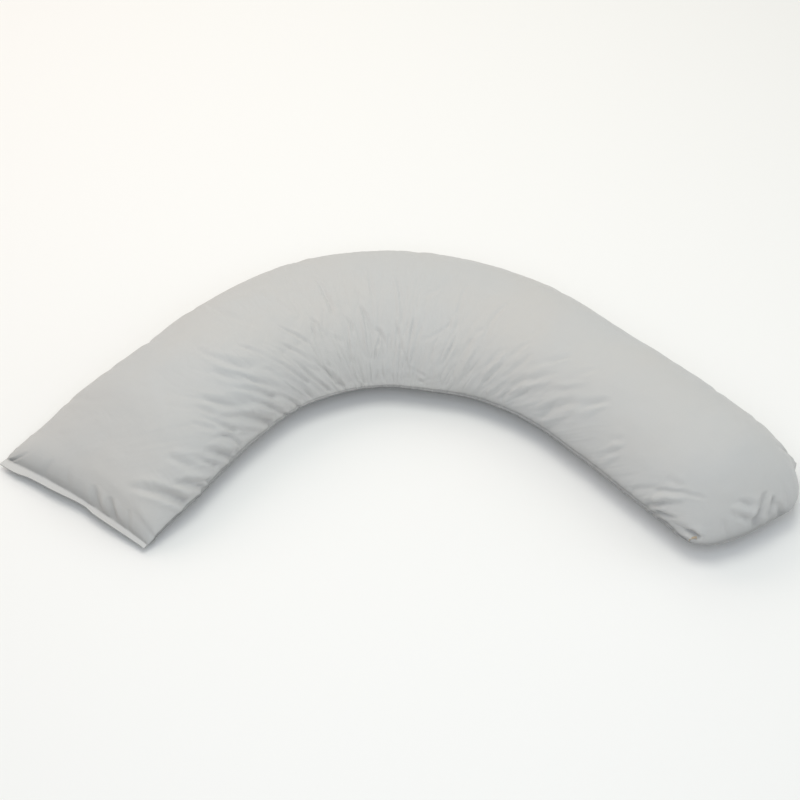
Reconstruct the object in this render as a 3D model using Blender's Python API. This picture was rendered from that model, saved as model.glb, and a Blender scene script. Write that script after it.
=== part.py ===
"""Body pillow: one long filled cushion lying on its back in an open bend.

Two lengths of cloth are sewn together down both sides and filled.  One end is
closed by a flat stitched flange, the other is turned and rounds over its seam.
The filling crowns the face and the bend draws the inner side into creases,
which fan out of the inner seam and fade over the face.

Metres, +Z up, the floor at z = 0.  The bend opens towards -Y and the flanged
end lies towards -X.  The origin is on the floor, under the middle of the
pillow's outline.

Places on the cloth are given by two numbers: along, the distance from the
flanged end, measured down the middle line, and across, which is -1 at the
inner seam, 0 on the middle line and +1 at the outer seam.
"""

import math
from typing import NamedTuple

import bmesh
import bpy
import numpy as np
from mathutils import Vector


class Section(NamedTuple):
    """The filled casing, cut across at one place along its length."""

    along: float
    heading: float  # direction of the middle line, in degrees from +X
    width: float  # seam to seam
    crown: float  # the face's highest point above the floor
    seam: float  # the side seams above the floor


class Fold(NamedTuple):
    """A crease, from its root at or near the inner seam to its fading tip."""

    root_along: float
    root_across: float
    tip_along: float
    tip_across: float
    bow: float  # how far its middle lies off the straight line
    half_width: float
    depth: float


class Stride(NamedTuple):
    """The spacing of the cross sections up to one place along the pillow."""

    until: float
    step: float


SECTIONS = (
    Section(along=0.000, heading=47.5, width=0.373, crown=0.028, seam=0.026),
    Section(along=0.015, heading=47.5, width=0.373, crown=0.030, seam=0.026),
    Section(along=0.020, heading=47.5, width=0.376, crown=0.046, seam=0.026),
    Section(along=0.032, heading=47.5, width=0.379, crown=0.066, seam=0.028),
    Section(along=0.065, heading=42.6, width=0.379, crown=0.092, seam=0.034),
    Section(along=0.120, heading=45.2, width=0.379, crown=0.120, seam=0.043),
    Section(along=0.240, heading=49.1, width=0.356, crown=0.169, seam=0.050),
    Section(along=0.430, heading=44.9, width=0.336, crown=0.188, seam=0.054),
    Section(along=0.620, heading=29.5, width=0.370, crown=0.172, seam=0.053),
    Section(along=0.810, heading=0.9, width=0.386, crown=0.157, seam=0.050),
    Section(along=1.000, heading=-20.9, width=0.373, crown=0.157, seam=0.050),
    Section(along=1.200, heading=-41.1, width=0.320, crown=0.172, seam=0.054),
    Section(along=1.390, heading=-46.2, width=0.303, crown=0.189, seam=0.057),
    Section(along=1.580, heading=-46.2, width=0.316, crown=0.179, seam=0.056),
    Section(along=1.710, heading=-51.6, width=0.313, crown=0.163, seam=0.052),
)

# The creases, in metres along and parts of the half width across.
#    root along, across, tip along, across, bow, half width, depth
FOLDS = (
    Fold(0.139, -0.98, 0.080, -0.56, 0.005, 0.015, 0.0075),
    Fold(0.186, -0.99, 0.137, -0.83, 0.005, 0.013, 0.0075),
    Fold(0.197, -0.89, 0.166, -0.66, -0.002, 0.015, 0.0035),
    Fold(0.204, -0.99, 0.179, -0.94, 0.000, 0.013, 0.0044),
    Fold(0.275, -0.99, 0.226, -0.86, 0.003, 0.013, 0.0075),
    Fold(0.380, -0.84, 0.294, -0.53, -0.009, 0.016, 0.0048),
    Fold(0.386, -0.62, 0.351, -0.35, -0.003, 0.015, 0.0035),
    Fold(0.400, -0.99, 0.304, -0.78, 0.005, 0.015, 0.0075),
    Fold(0.427, -0.59, 0.366, -0.03, -0.012, 0.015, 0.0043),
    Fold(0.430, -0.90, 0.358, -0.62, 0.001, 0.013, 0.0043),
    Fold(0.449, -0.86, 0.383, -0.56, -0.001, 0.013, 0.0043),
    Fold(0.452, -1.00, 0.383, -0.84, 0.003, 0.013, 0.0043),
    Fold(0.493, -1.00, 0.418, -0.87, 0.010, 0.013, 0.0042),
    Fold(0.529, -0.92, 0.472, -0.61, 0.001, 0.013, 0.0037),
    Fold(0.531, -0.99, 0.473, -0.81, 0.006, 0.013, 0.0036),
    Fold(0.581, -0.62, 0.540, -0.33, -0.000, 0.013, 0.0035),
    Fold(0.586, -0.99, 0.518, -0.71, -0.002, 0.013, 0.0039),
    Fold(0.631, -0.99, 0.566, -0.74, -0.001, 0.013, 0.0045),
    Fold(0.674, -0.45, 0.675, 0.24, 0.005, 0.013, 0.0035),
    Fold(0.768, -0.61, 0.749, -0.27, 0.001, 0.013, 0.0035),
    Fold(1.020, -0.79, 1.044, -0.55, 0.001, 0.013, 0.0041),
    Fold(1.123, -0.92, 1.162, -0.73, -0.005, 0.013, 0.0041),
    Fold(1.170, -0.83, 1.197, -0.54, 0.002, 0.013, 0.0035),
    Fold(1.183, -0.98, 1.216, -0.79, -0.008, 0.013, 0.0035),
    Fold(1.205, -0.83, 1.271, -0.60, 0.003, 0.013, 0.0035),
    Fold(1.267, -0.79, 1.346, -0.60, 0.005, 0.013, 0.0035),
    Fold(1.296, -0.94, 1.360, -0.71, -0.004, 0.014, 0.0059),
    Fold(1.367, -0.75, 1.409, -0.53, -0.002, 0.013, 0.0035),
    Fold(1.448, -0.95, 1.486, -0.83, 0.000, 0.013, 0.0047),
    Fold(1.590, -0.98, 1.624, -0.90, 0.000, 0.013, 0.0047),
    Fold(1.613, -0.99, 1.654, -0.95, 0.002, 0.013, 0.0035),
)

# How far the turned end's edge strays outwards, from its inner to its outer corner.
#    across, outward
TURNED_EDGE = (
    (-1.00, 0.0015),
    (-0.85, 0.0060),
    (-0.55, -0.0025),
    (-0.20, -0.0055),
    (0.20, 0.0000),
    (0.40, 0.0080),
    (0.55, 0.0080),
    (0.70, 0.0030),
    (0.85, -0.0145),
    (1.00, -0.0100),
)
TURNED_EDGE_SPREAD = 0.12  # the length over which it does so

CLOTH_WIDTH = 0.42  # the face between its seams, measured over the cloth
FLANGE_LENGTH = 0.015
FLANGE_THICKNESS = 0.003
FLANGE_DRAW = 0.007  # the filling pulls the middle of the flange this far in
FLANGE_SKEW = -0.0242  # the flange is sewn askew, its outer corner this far in
FLANGE_DRAW_SPREAD = 0.25  # the length over which both are taken up
CORNER_DROOP = 0.012  # the flange's corners hang this far below its middle
CORNER_DROOP_SPREAD = 0.15
TURNED_END_REACH = 0.065  # how far the turned end rounds out past its corners
TURNED_END_SPREAD = 0.30  # the length over which it does so
SEAM_LIP = 0.002  # the sewn edge stands out this far

# Fullness of the cross section: a higher power gives a squarer shoulder.
FACE_SHOULDER = 2.4
FACE_ROUND = 0.58
FLOOR_EDGE = 0.50  # the underside is flat on the floor this far across
UNDERSIDE_CURVE = 1.6  # from there it curves up to the seams

# Each end rises to its full section over a length, along a round shoulder.
END_SHOULDER = 2.3
END_ROUND = 0.55
UNDERSIDE_END_ROUND = 0.60
TURNED_FACE_RISE = 0.13
TURNED_UNDERSIDE_RISE = 0.12
FLANGED_UNDERSIDE_RISE = 0.10

# A crease is a soft trough between two lower ridges.
RIDGE_HEIGHT = 0.45  # of the trough's depth
RIDGE_OFFSET = 1.9  # in half widths from the trough's middle
RIDGE_SPREAD = 0.9
SEAM_HOLD = 0.40  # the sewn seam lets a crease keep only this part of its depth
SEAM_HOLD_REACH = 0.030  # the creases reach their full depth this far up the cloth

STRIDES = (
    Stride(until=0.036, step=0.0070),
    Stride(until=0.12, step=0.0105),
    Stride(until=0.28, step=0.0200),
    Stride(until=1.40, step=0.0145),
    Stride(until=1.60, step=0.0220),
    Stride(until=SECTIONS[-1].along, step=0.0100),
)
UNDERSIDE_STRIPS = 10
STRIPS_PER_UNDERSIDE_STRIP = 3
FACE_STRIPS = UNDERSIDE_STRIPS * STRIPS_PER_UNDERSIDE_STRIP
INNER_CROWDING = 0.30  # how much closer the strips lie towards the inner seam
LINE_STEPS = 2000  # steps in which the middle line is summed up

CLOTH_COLOR = (0.54, 0.54, 0.53, 1.0)
CLOTH_ROUGHNESS = 0.86


def clear_scene():
    """Remove every object, so that the script can be run again."""
    for item in list(bpy.data.objects):
        bpy.data.objects.remove(item, do_unlink=True)


def smooth_table(places, values, where):
    """Read a table between its rows along a smooth curve that never overshoots them."""
    places = np.asarray(places, float)
    values = np.asarray(values, float)
    slopes = np.diff(values) / np.diff(places)
    tangents = np.empty(len(values))
    tangents[0] = slopes[0]
    tangents[-1] = slopes[-1]
    for row in range(1, len(values) - 1):
        before, after = slopes[row - 1], slopes[row]
        level = before * after <= 0
        tangents[row] = 0.0 if level else 2 * before * after / (before + after)
    row = np.clip(np.searchsorted(places, where) - 1, 0, len(places) - 2)
    span = places[row + 1] - places[row]
    part = (where - places[row]) / span
    rest = 1 - part
    return (
        values[row] * (1 + 2 * part) * rest**2
        + tangents[row] * span * part * rest**2
        + values[row + 1] * part**2 * (3 - 2 * part)
        - tangents[row + 1] * span * part**2 * rest
    )


def section_values(name, where):
    """One column of the section table, read at the given places along the pillow."""
    places = [section.along for section in SECTIONS]
    return smooth_table(places, [getattr(section, name) for section in SECTIONS], where)


def middle_line(where):
    """Points of the middle line, summed up from its headings."""
    steps = np.linspace(0, SECTIONS[-1].along, LINE_STEPS)
    heading = np.radians(section_values("heading", (steps[1:] + steps[:-1]) / 2))
    stride = np.diff(steps)
    x = np.concatenate([[0.0], np.cumsum(np.cos(heading) * stride)])
    y = np.concatenate([[0.0], np.cumsum(np.sin(heading) * stride)])
    return np.interp(where, steps, x), np.interp(where, steps, y)


def round_rise(distance, length, roundness):
    """How full the section is at a distance from an end: 0 at the end, 1 past length."""
    part = np.clip(distance / length, 0, 1)
    return (1 - (1 - part) ** END_SHOULDER) ** roundness


def plan_points(along, across):
    """Where each place on the cloth lies, seen from above."""
    x, y = middle_line(along)
    heading = np.radians(section_values("heading", along))
    side = section_values("width", along) / 2 * across
    length = SECTIONS[-1].along
    near_turned = np.clip((along - length + TURNED_END_SPREAD) / TURNED_END_SPREAD, 0, 1)
    reach = TURNED_END_REACH * near_turned**2 * (1 - np.abs(across) ** FACE_SHOULDER)
    places, strays = np.array(TURNED_EDGE).T
    in_turned = np.clip(1 - (length - along) / TURNED_EDGE_SPREAD, 0, 1)
    reach = reach + in_turned**2 * smooth_table(places, strays, across)
    near_flange = np.clip(1 - along / FLANGE_DRAW_SPREAD, 0, 1)
    reach = reach + (FLANGE_DRAW * (1 - across**2) + FLANGE_SKEW * across) * near_flange**2
    return (
        x - np.sin(heading) * side + np.cos(heading) * reach,
        y + np.cos(heading) * side + np.sin(heading) * reach,
    )


def seam_heights(along, across):
    """The height at which the two faces would meet, everywhere under the cloth."""
    near_flange = np.clip(1 - along / CORNER_DROOP_SPREAD, 0, 1)
    return section_values("seam", along) - CORNER_DROOP * near_flange * across**2


def face_heights(along, across):
    """Height of the upper cloth, before its creases."""
    seam = seam_heights(along, across)
    to_end = SECTIONS[-1].along - along
    crown = section_values("crown", along) - section_values("seam", along)
    rise = round_rise(to_end, TURNED_FACE_RISE, END_ROUND)
    profile = (1 - np.abs(across) ** FACE_SHOULDER) ** FACE_ROUND
    flat = along <= FLANGE_LENGTH
    return np.where(flat, seam + FLANGE_THICKNESS / 2, seam + crown * profile * rise)


def underside_heights(along, across):
    """Height of the lower cloth, which is flat where it rests on the floor."""
    seam = seam_heights(along, across)
    to_end = SECTIONS[-1].along - along
    rise = round_rise(to_end, TURNED_UNDERSIDE_RISE, UNDERSIDE_END_ROUND) * round_rise(
        along - FLANGE_LENGTH, FLANGED_UNDERSIDE_RISE, UNDERSIDE_END_ROUND
    )
    past_floor = np.clip((np.abs(across) - FLOOR_EDGE) / (1 - FLOOR_EDGE), 0, 1)
    fullness = rise * (1 - past_floor**UNDERSIDE_CURVE)
    flat = along <= FLANGE_LENGTH
    return np.where(flat, seam - FLANGE_THICKNESS / 2, seam * (1 - fullness))


def station_places():
    """Places along the pillow at which it is cut into cross sections."""
    places = [0.0]
    start = FLANGE_LENGTH
    for stride in STRIDES:
        count = max(1, round((stride.until - start) / stride.step))
        places.extend(start + (stride.until - start) * np.arange(count) / count)
        start = stride.until
    places.append(start)
    return np.array(places)


def strip_places():
    """Places across the face, closer together towards the creased inner seam."""
    part = np.linspace(0, 1, FACE_STRIPS + 1)
    part = part * (1 - INNER_CROWDING + INNER_CROWDING * part)
    return np.sin(math.pi * (part - 0.5))


def cloth_distance(across):
    """Distance over the cloth from the middle line to a place across it."""
    return np.arcsin(np.clip(across, -1, 1)) / math.pi * CLOTH_WIDTH


def fold_heights(along, across):
    """How far the creases lift the cloth (or sink it, below zero) at each place."""
    height = np.zeros_like(along)
    over = cloth_distance(across)
    for fold in FOLDS:
        root = cloth_distance(fold.root_across)
        tip = cloth_distance(fold.tip_across)
        run_along = fold.tip_along - fold.root_along
        run_over = tip - root
        length = math.hypot(run_along, run_over)
        part = ((along - fold.root_along) * run_along + (over - root) * run_over) / length**2
        off = ((along - fold.root_along) * run_over - (over - root) * run_along) / length
        off = off - fold.bow * 4 * part * (1 - part)
        inside = np.clip(part, 0, 1)
        past = np.abs(part - inside) * length / fold.half_width
        strength = (1 - inside**2) ** 2 * np.exp(-(past**2))
        off = np.abs(off) / fold.half_width
        trough = np.exp(-(off**2))
        ridges = RIDGE_HEIGHT * np.exp(-(((off - RIDGE_OFFSET) / RIDGE_SPREAD) ** 2))
        height += fold.depth * strength * (ridges - trough)
    to_seam = np.clip((CLOTH_WIDTH / 2 - np.abs(over)) / SEAM_HOLD_REACH, 0, 1)
    held = SEAM_HOLD + (1 - SEAM_HOLD) * to_seam
    return height * held * (along > FLANGE_LENGTH)


def loft(along, across):
    """Join the cross sections into one closed skin and return it as a BMesh.

    The face has three strips of cloth to each strip of the underside.  Both share
    the side seams, and at the turned end they also share the end seam.
    """
    grid_along, grid_across = np.meshgrid(along, across, indexing="ij")
    plan_x, plan_y = plan_points(grid_along, grid_across)
    face_z = face_heights(grid_along, grid_across)
    under_z = underside_heights(grid_along, grid_across)
    seam_z = seam_heights(grid_along, grid_across)
    face_z[:, [0, -1]] = seam_z[:, [0, -1]]
    face_z[-1] = seam_z[-1]
    skin = bmesh.new()
    face = [
        [skin.verts.new(point) for point in zip(*row)]
        for row in zip(plan_x, plan_y, face_z)
    ]
    every = STRIPS_PER_UNDERSIDE_STRIP
    under = []
    for row, points in enumerate(zip(plan_x, plan_y, under_z)):
        verts = face[row][::every]
        if row < len(along) - 1:
            inner = list(zip(*points))[every:-1:every]
            verts[1:-1] = [skin.verts.new(point) for point in inner]
        under.append(verts)
    for row in range(len(along) - 1):
        for strip in range(FACE_STRIPS):
            here, there = face[row], face[row + 1]
            skin.faces.new((here[strip], there[strip], there[strip + 1], here[strip + 1]))
        for strip in range(UNDERSIDE_STRIPS):
            here, there = under[row], under[row + 1]
            far_edge = [there[strip + 1], there[strip]]
            if row == len(along) - 2:
                far_edge = face[-1][strip * every : (strip + 1) * every + 1][::-1]
            skin.faces.new([here[strip], here[strip + 1], *far_edge])
    close_flange(skin, face[0], under[0])
    return skin, face


def close_flange(skin, face_edge, under_edge):
    """Close the cut edge of the flange between its upper and lower cloth."""
    every = STRIPS_PER_UNDERSIDE_STRIP
    for strip in range(UNDERSIDE_STRIPS):
        upper = face_edge[strip * every : (strip + 1) * every + 1]
        lower = [vert for vert in under_edge[strip : strip + 2] if vert not in upper]
        skin.faces.new([*upper, *reversed(lower)])


def crease(skin, face, along, across):
    """Push the face along its normals into creases and stand its seams out."""
    skin.normal_update()
    grid_along, grid_across = np.meshgrid(along, across, indexing="ij")
    lift = fold_heights(grid_along, grid_across)
    lift[:, [0, -1]] += SEAM_LIP
    moves = [
        (vert, vert.normal * float(lift[row, column]))
        for row, verts in enumerate(face)
        for column, vert in enumerate(verts)
    ]
    for vert, move in moves:
        vert.co += move


def stand_at_origin(skin):
    """Move the skin so that the middle of its outline is over the origin."""
    points = [vert.co for vert in skin.verts]
    middle = [(max(axis) + min(axis)) / 2 for axis in zip(*points)]
    bmesh.ops.translate(skin, vec=Vector((-middle[0], -middle[1], 0)), verts=skin.verts)


def cloth_material():
    """Plain smooth pale grey cotton."""
    material = bpy.data.materials.new("pillow_cotton")
    material.use_nodes = True
    shader = material.node_tree.nodes["Principled BSDF"]
    shader.inputs["Base Color"].default_value = CLOTH_COLOR
    shader.inputs["Roughness"].default_value = CLOTH_ROUGHNESS
    shader.inputs["Metallic"].default_value = 0.0
    return material


def build_pillow(collection):
    """Model the filled casing with its flange and link it to the collection."""
    along = station_places()
    across = strip_places()
    skin, face = loft(along, across)
    crease(skin, face, along, across)
    stand_at_origin(skin)
    bmesh.ops.triangulate(skin, faces=skin.faces)
    mesh = bpy.data.meshes.new("pillow")
    skin.to_mesh(mesh)
    skin.free()
    mesh.shade_smooth()
    mesh.materials.append(cloth_material())
    collection.objects.link(bpy.data.objects.new("pillow", mesh))


def main():
    clear_scene()
    collection = bpy.data.collections.new("body_pillow")
    bpy.context.scene.collection.children.link(collection)
    build_pillow(collection)


main()
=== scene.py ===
"""Looks of the body pillow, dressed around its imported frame.

The pillow is one filled casing of smooth pale grey cotton, lying on its back in an
open bend.  The casing is modelled over its own section table, crumpled by a cloth
simulation in which its inner side is too long for the bend, and then given its
creases, seams, flange and stitches.
"""

import logging
import math
from dataclasses import dataclass, field, replace
from enum import Enum

import bpy
import numpy as np
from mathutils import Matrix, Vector
from numpy.typing import ArrayLike


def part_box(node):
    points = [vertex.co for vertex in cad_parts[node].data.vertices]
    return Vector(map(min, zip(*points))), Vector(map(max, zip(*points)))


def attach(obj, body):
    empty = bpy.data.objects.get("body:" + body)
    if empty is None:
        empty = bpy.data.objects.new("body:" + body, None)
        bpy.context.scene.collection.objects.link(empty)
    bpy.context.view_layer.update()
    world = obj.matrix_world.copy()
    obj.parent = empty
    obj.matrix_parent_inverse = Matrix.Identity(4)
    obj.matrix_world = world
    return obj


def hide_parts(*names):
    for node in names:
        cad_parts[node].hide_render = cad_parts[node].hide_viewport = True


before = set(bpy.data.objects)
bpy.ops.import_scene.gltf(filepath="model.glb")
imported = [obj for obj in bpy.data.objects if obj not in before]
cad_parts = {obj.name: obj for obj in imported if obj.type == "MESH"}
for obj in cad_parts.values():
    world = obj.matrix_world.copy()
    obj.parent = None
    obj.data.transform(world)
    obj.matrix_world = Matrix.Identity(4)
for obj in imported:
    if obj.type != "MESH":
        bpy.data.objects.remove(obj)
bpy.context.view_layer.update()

LOG = logging.getLogger("body_pillow")
BODY = "root"
NODE = "pillow"
COTTON_SLOT = "pillow_cotton"
IMAGE_SIDE = 800

Array = np.ndarray
Colour = tuple[float, float, float, float]
Rows = tuple[tuple[float, ...], ...]

# How many units of a crease's row make a metre, or reach from the middle to a seam.
CREASE_UNITS = (1000, 100, 1000, 100, 1000, 10000, 10000)


class CreaseKind(Enum):
    """Which way the cloth bends along a crease."""

    VALLEY = -1  # a trough between two low banks
    RIDGE = 1  # a rounded ridge between two shallow troughs


@dataclass(frozen=True)
class Section:
    """The filled casing, cut across at one place along its length, in metres."""

    along: float
    heading: float  # direction of the middle line, in degrees from +X
    width: float  # seam to seam
    crown: float  # the face's highest point above the floor
    seam: float  # the side seams above the floor


@dataclass(frozen=True)
class Crease:
    """A crease in the cloth, from its root to its fading tip.

    Along is in metres from the flanged end, across runs from -1 at the inner seam
    to +1 at the outer seam.  Bow is how far its middle lies off the straight line.
    """

    root_along: float
    root_across: float
    tip_along: float
    tip_across: float
    bow: float
    half_width: float
    depth: float
    kind: CreaseKind


def crease_table(*rows: tuple[int, ...]) -> tuple[Crease, ...]:
    """Creases from rows of whole numbers.

    Args:
        rows: the root and the tip, each in millimetres along and hundredths across,
            then the bow in millimetres, and the half width and depth in tenths of a
            millimetre.  A ridge has a depth below 0.

    Returns:
        The creases, in metres.
    """
    made = []
    for row in rows:
        *sizes, depth = (number / unit for number, unit in zip(row, CREASE_UNITS))
        kind = CreaseKind.RIDGE if depth < 0 else CreaseKind.VALLEY
        made.append(Crease(*sizes, abs(depth), kind))
    return tuple(made)


# Along, heading, width, crown and seam.
SECTIONS = (
    Section(0.000, 47.5, 0.373, 0.028, 0.026),
    Section(0.015, 47.5, 0.373, 0.030, 0.026),
    Section(0.020, 47.5, 0.376, 0.046, 0.026),
    Section(0.032, 47.5, 0.379, 0.066, 0.028),
    Section(0.065, 42.6, 0.379, 0.092, 0.034),
    Section(0.120, 45.2, 0.379, 0.120, 0.043),
    Section(0.240, 49.1, 0.356, 0.169, 0.050),
    Section(0.430, 44.9, 0.336, 0.188, 0.054),
    Section(0.620, 29.5, 0.370, 0.172, 0.053),
    Section(0.810, 0.9, 0.386, 0.157, 0.050),
    Section(1.000, -20.9, 0.373, 0.157, 0.050),
    Section(1.200, -41.1, 0.320, 0.172, 0.054),
    Section(1.390, -46.2, 0.303, 0.189, 0.057),
    Section(1.580, -46.2, 0.316, 0.179, 0.056),
    Section(1.710, -51.6, 0.313, 0.163, 0.052),
)

# The creases, which fan out of the inner seam or lie free in the cloth.
# Root along and across, tip along and across, bow, half width and depth.
CREASES = crease_table(
    (15, 95, 29, 76, 1, 55, 30),
    (17, -54, 32, -41, -2, 88, 51),
    (17, -31, 31, -17, 0, 88, 42),
    (139, -98, 80, -56, 5, 90, 85),
    (186, -99, 137, -83, 5, 80, 75),
    (197, -89, 166, -66, -2, 92, 34),
    (204, -99, 179, -94, 0, 57, 43),
    (232, -97, 195, -79, 1, 57, 32),
    (274, -81, 240, -60, -1, 57, 15),
    (275, -99, 226, -86, 3, 80, 75),
    (292, -69, 268, -52, -1, 57, 14),
    (294, -99, 266, -95, 0, 57, 32),
    (308, -90, 267, -66, -1, 57, 31),
    (309, -99, 240, -82, 15, 51, 29),
    (380, -84, 294, -53, -9, 101, 41),
    (386, -62, 351, -35, -3, 89, 24),
    (400, -99, 304, -78, 5, 90, 79),
    (427, -59, 366, -3, -12, 89, 29),
    (430, -90, 358, -62, 1, 56, 35),
    (449, -86, 383, -56, -1, 55, 33),
    (452, -100, 383, -84, 3, 55, 36),
    (465, -57, 432, -28, 0, 50, 15),
    (475, -74, 427, -64, -1, 38, 8),
    (493, -100, 418, -87, 10, 55, 35),
    (498, -16, 470, 51, -10, 86, 16),
    (513, -65, 483, -43, -1, 43, 8),
    (529, -92, 472, -61, 1, 48, 29),
    (531, -99, 473, -81, 6, 53, 29),
    (563, -79, 517, -53, 1, 52, 23),
    (565, 14, 572, 38, -1, 41, 9),
    (581, -62, 540, -33, 0, 41, 24),
    (586, -99, 518, -71, -2, 52, 33),
    (587, -21, 574, 9, 0, 46, 10),
    (592, -81, 609, -46, -2, 40, 19),
    (615, -91, 619, -52, -8, 40, -19),
    (623, -60, 616, -33, 5, 50, 24),
    (631, -99, 566, -74, -1, 60, 38),
    (647, -85, 634, -77, 1, 41, 10),
    (674, -45, 675, 24, 5, 61, 29),
    (676, -69, 648, -61, -1, 61, 14),
    (678, -86, 702, -52, -2, 46, 22),
    (706, -99, 700, -77, -17, 52, -24),
    (711, -60, 705, -41, 4, 47, 22),
    (751, -82, 747, -47, -1, 52, -20),
    (758, -23, 743, -8, 1, 42, 10),
    (768, -61, 749, -27, 1, 58, 26),
    (771, -87, 790, -69, -2, 48, 21),
    (787, -21, 778, 19, 0, 48, 11),
    (795, -99, 782, -87, -3, 43, -9),
    (808, -73, 783, -57, 4, 53, 23),
    (849, -52, 828, 18, 0, 38, -11),
    (850, -27, 832, 27, -2, 38, 8),
    (860, -79, 833, -48, 1, 54, 19),
    (886, -67, 887, -41, -3, 55, 15),
    (887, -92, 860, -77, 1, 44, 18),
    (896, -12, 926, 3, 3, 56, 11),
    (914, -67, 970, -47, 4, 47, 12),
    (923, -98, 995, -93, 1, 43, 11),
    (940, -95, 886, -91, 0, 39, 13),
    (979, -51, 960, -35, 1, 43, 11),
    (989, -84, 998, -65, -1, 58, 14),
    (994, -47, 977, 15, -5, 51, 11),
    (1013, -5, 1040, 19, 5, 53, 6),
    (1020, -79, 1044, -55, 1, 86, 20),
    (1034, -96, 1010, -87, 0, 46, 11),
    (1041, -49, 1058, -43, -1, 67, 15),
    (1044, -89, 1061, -63, 1, 80, -18),
    (1059, -93, 1084, -77, 0, 81, 15),
    (1076, -54, 1081, 12, -14, 68, 13),
    (1110, -77, 1134, -57, -2, 83, 13),
    (1112, -87, 1142, -61, 5, 70, -16),
    (1123, -92, 1162, -73, -5, 91, 21),
    (1142, -97, 1194, -71, 0, 71, -13),
    (1159, -63, 1175, -39, -1, 71, 16),
    (1169, -32, 1176, -13, -1, 71, 8),
    (1170, -83, 1197, -54, 2, 86, 20),
    (1183, -98, 1216, -79, -8, 65, 18),
    (1205, -83, 1271, -60, 3, 72, 17),
    (1206, -97, 1257, -82, -6, 87, 17),
    (1207, -91, 1273, -71, -2, 72, -17),
    (1209, -74, 1273, -39, 3, 72, -17),
    (1229, -91, 1346, -60, -3, 100, 17),
    (1231, -55, 1272, -30, 4, 101, 16),
    (1286, -72, 1340, -52, 2, 71, -18),
    (1292, -96, 1360, -71, -5, 107, 34),
    (1299, -97, 1359, -78, -1, 100, -25),
    (1310, -50, 1340, -30, 1, 71, 12),
    (1312, -99, 1349, -93, -2, 100, 17),
    (1362, -83, 1406, -61, 1, 71, -16),
    (1367, -75, 1409, -53, -2, 85, 23),
    (1447, -98, 1486, -89, -1, 84, -24),
    (1449, -97, 1489, -82, -2, 70, 25),
    (1459, -81, 1480, -74, 0, 70, 10),
    (1459, -88, 1482, -79, 1, 70, -14),
    (1547, -98, 1611, -85, -5, 69, 20),
    (1587, -99, 1627, -89, -1, 82, 48),
    (1591, -80, 1620, -74, 0, 82, 21),
    (1598, -94, 1638, -82, -1, 82, -57),
    (1607, -85, 1658, -66, 0, 55, 19),
    (1613, -99, 1654, -95, 2, 68, 48),
    (1694, -94, 1638, -98, -7, 128, 40),
    (1700, -16, 1684, -33, 2, 91, 24),
    (1701, -92, 1684, -96, 0, 91, 63),
    (1702, -18, 1686, -45, 0, 91, -31),
    (1706, -6, 1691, 6, -3, 91, 63),
    (1707, -19, 1698, -37, 0, 100, 41),
    (1708, 4, 1699, 15, 0, 73, 63),
    (1709, -20, 1702, -8, -1, 91, 79),
    (1710, 24, 1699, 15, -2, 73, 38),
)

# Short puckers over the outer seam and gathers at the two ends.
EDGE_CREASES = crease_table(
    (150, 100, 158, 56, 0, 120, 22),
    (262, 100, 250, 66, 0, 140, 20),
    (352, 100, 345, 60, 0, 110, 34),
    (463, 100, 452, 58, 0, 130, 18),
    (668, 100, 679, 60, 0, 120, 22),
    (868, 100, 860, 55, 0, 130, 22),
    (1128, 100, 1121, 66, 0, 140, 14),
    (1415, 100, 1408, 60, 0, 120, 16),
    (1520, 100, 1512, 58, 0, 110, 26),
    (1612, 100, 1604, 66, 0, 120, 20),
    (1690, 98, 1660, 66, 0, 110, 56),
    (16, -74, 36, -66, 0, 60, 22),
    (16, 12, 36, 20, 0, 70, 18),
    (16, 46, 34, 42, 0, 80, 16),
    (1709, 34, 1692, 37, 0, 60, 24),
    (1709, -62, 1694, -60, 0, 70, 24),
)

# How far the casing's sides stray outwards: along, the inner and the outer side.
SIDE_EDGES = (
    (0.00, 0.0000, 0.0030),
    (0.07, -0.0015, 0.0005),
    (0.12, -0.0025, -0.0020),
    (0.18, -0.0010, 0.0020),
    (0.24, -0.0020, -0.0005),
    (0.30, -0.0030, -0.0010),
    (0.36, -0.0010, -0.0030),
    (0.42, -0.0015, 0.0020),
    (0.54, -0.0035, -0.0010),
    (0.68, -0.0010, 0.0000),
    (0.82, -0.0040, 0.0005),
    (0.89, -0.0015, 0.0015),
    (0.96, -0.0010, -0.0005),
    (1.03, -0.0040, -0.0005),
    (1.17, -0.0005, 0.0030),
    (1.24, -0.0040, 0.0005),
    (1.31, -0.0035, -0.0025),
    (1.38, 0.0000, 0.0005),
    (1.45, -0.0010, 0.0015),
    (1.57, -0.0020, -0.0005),
    (1.67, -0.0015, 0.0020),
    (1.71, -0.0040, 0.0010),
)

# Painted shade beside the inner seam, and its sewn groove: along, how far from the seam
# the painted shade reaches, how much darker it paints the cloth there, and how far up the cloth the
# sewn groove lies.
INNER_SEAM = (
    (0.00, 0.0080, 0.42, 0.006),
    (0.15, 0.0110, 0.50, 0.007),
    (0.35, 0.0110, 0.36, 0.007),
    (0.50, 0.0050, 0.22, 0.005),
    (0.75, 0.0045, 0.24, 0.004),
    (0.95, 0.0080, 0.30, 0.005),
    (1.10, 0.0200, 0.34, 0.006),
    (1.25, 0.0170, 0.36, 0.007),
    (1.50, 0.0160, 0.42, 0.008),
    (1.62, 0.0190, 0.42, 0.008),
    (1.71, 0.0230, 0.40, 0.006),
)

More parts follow.
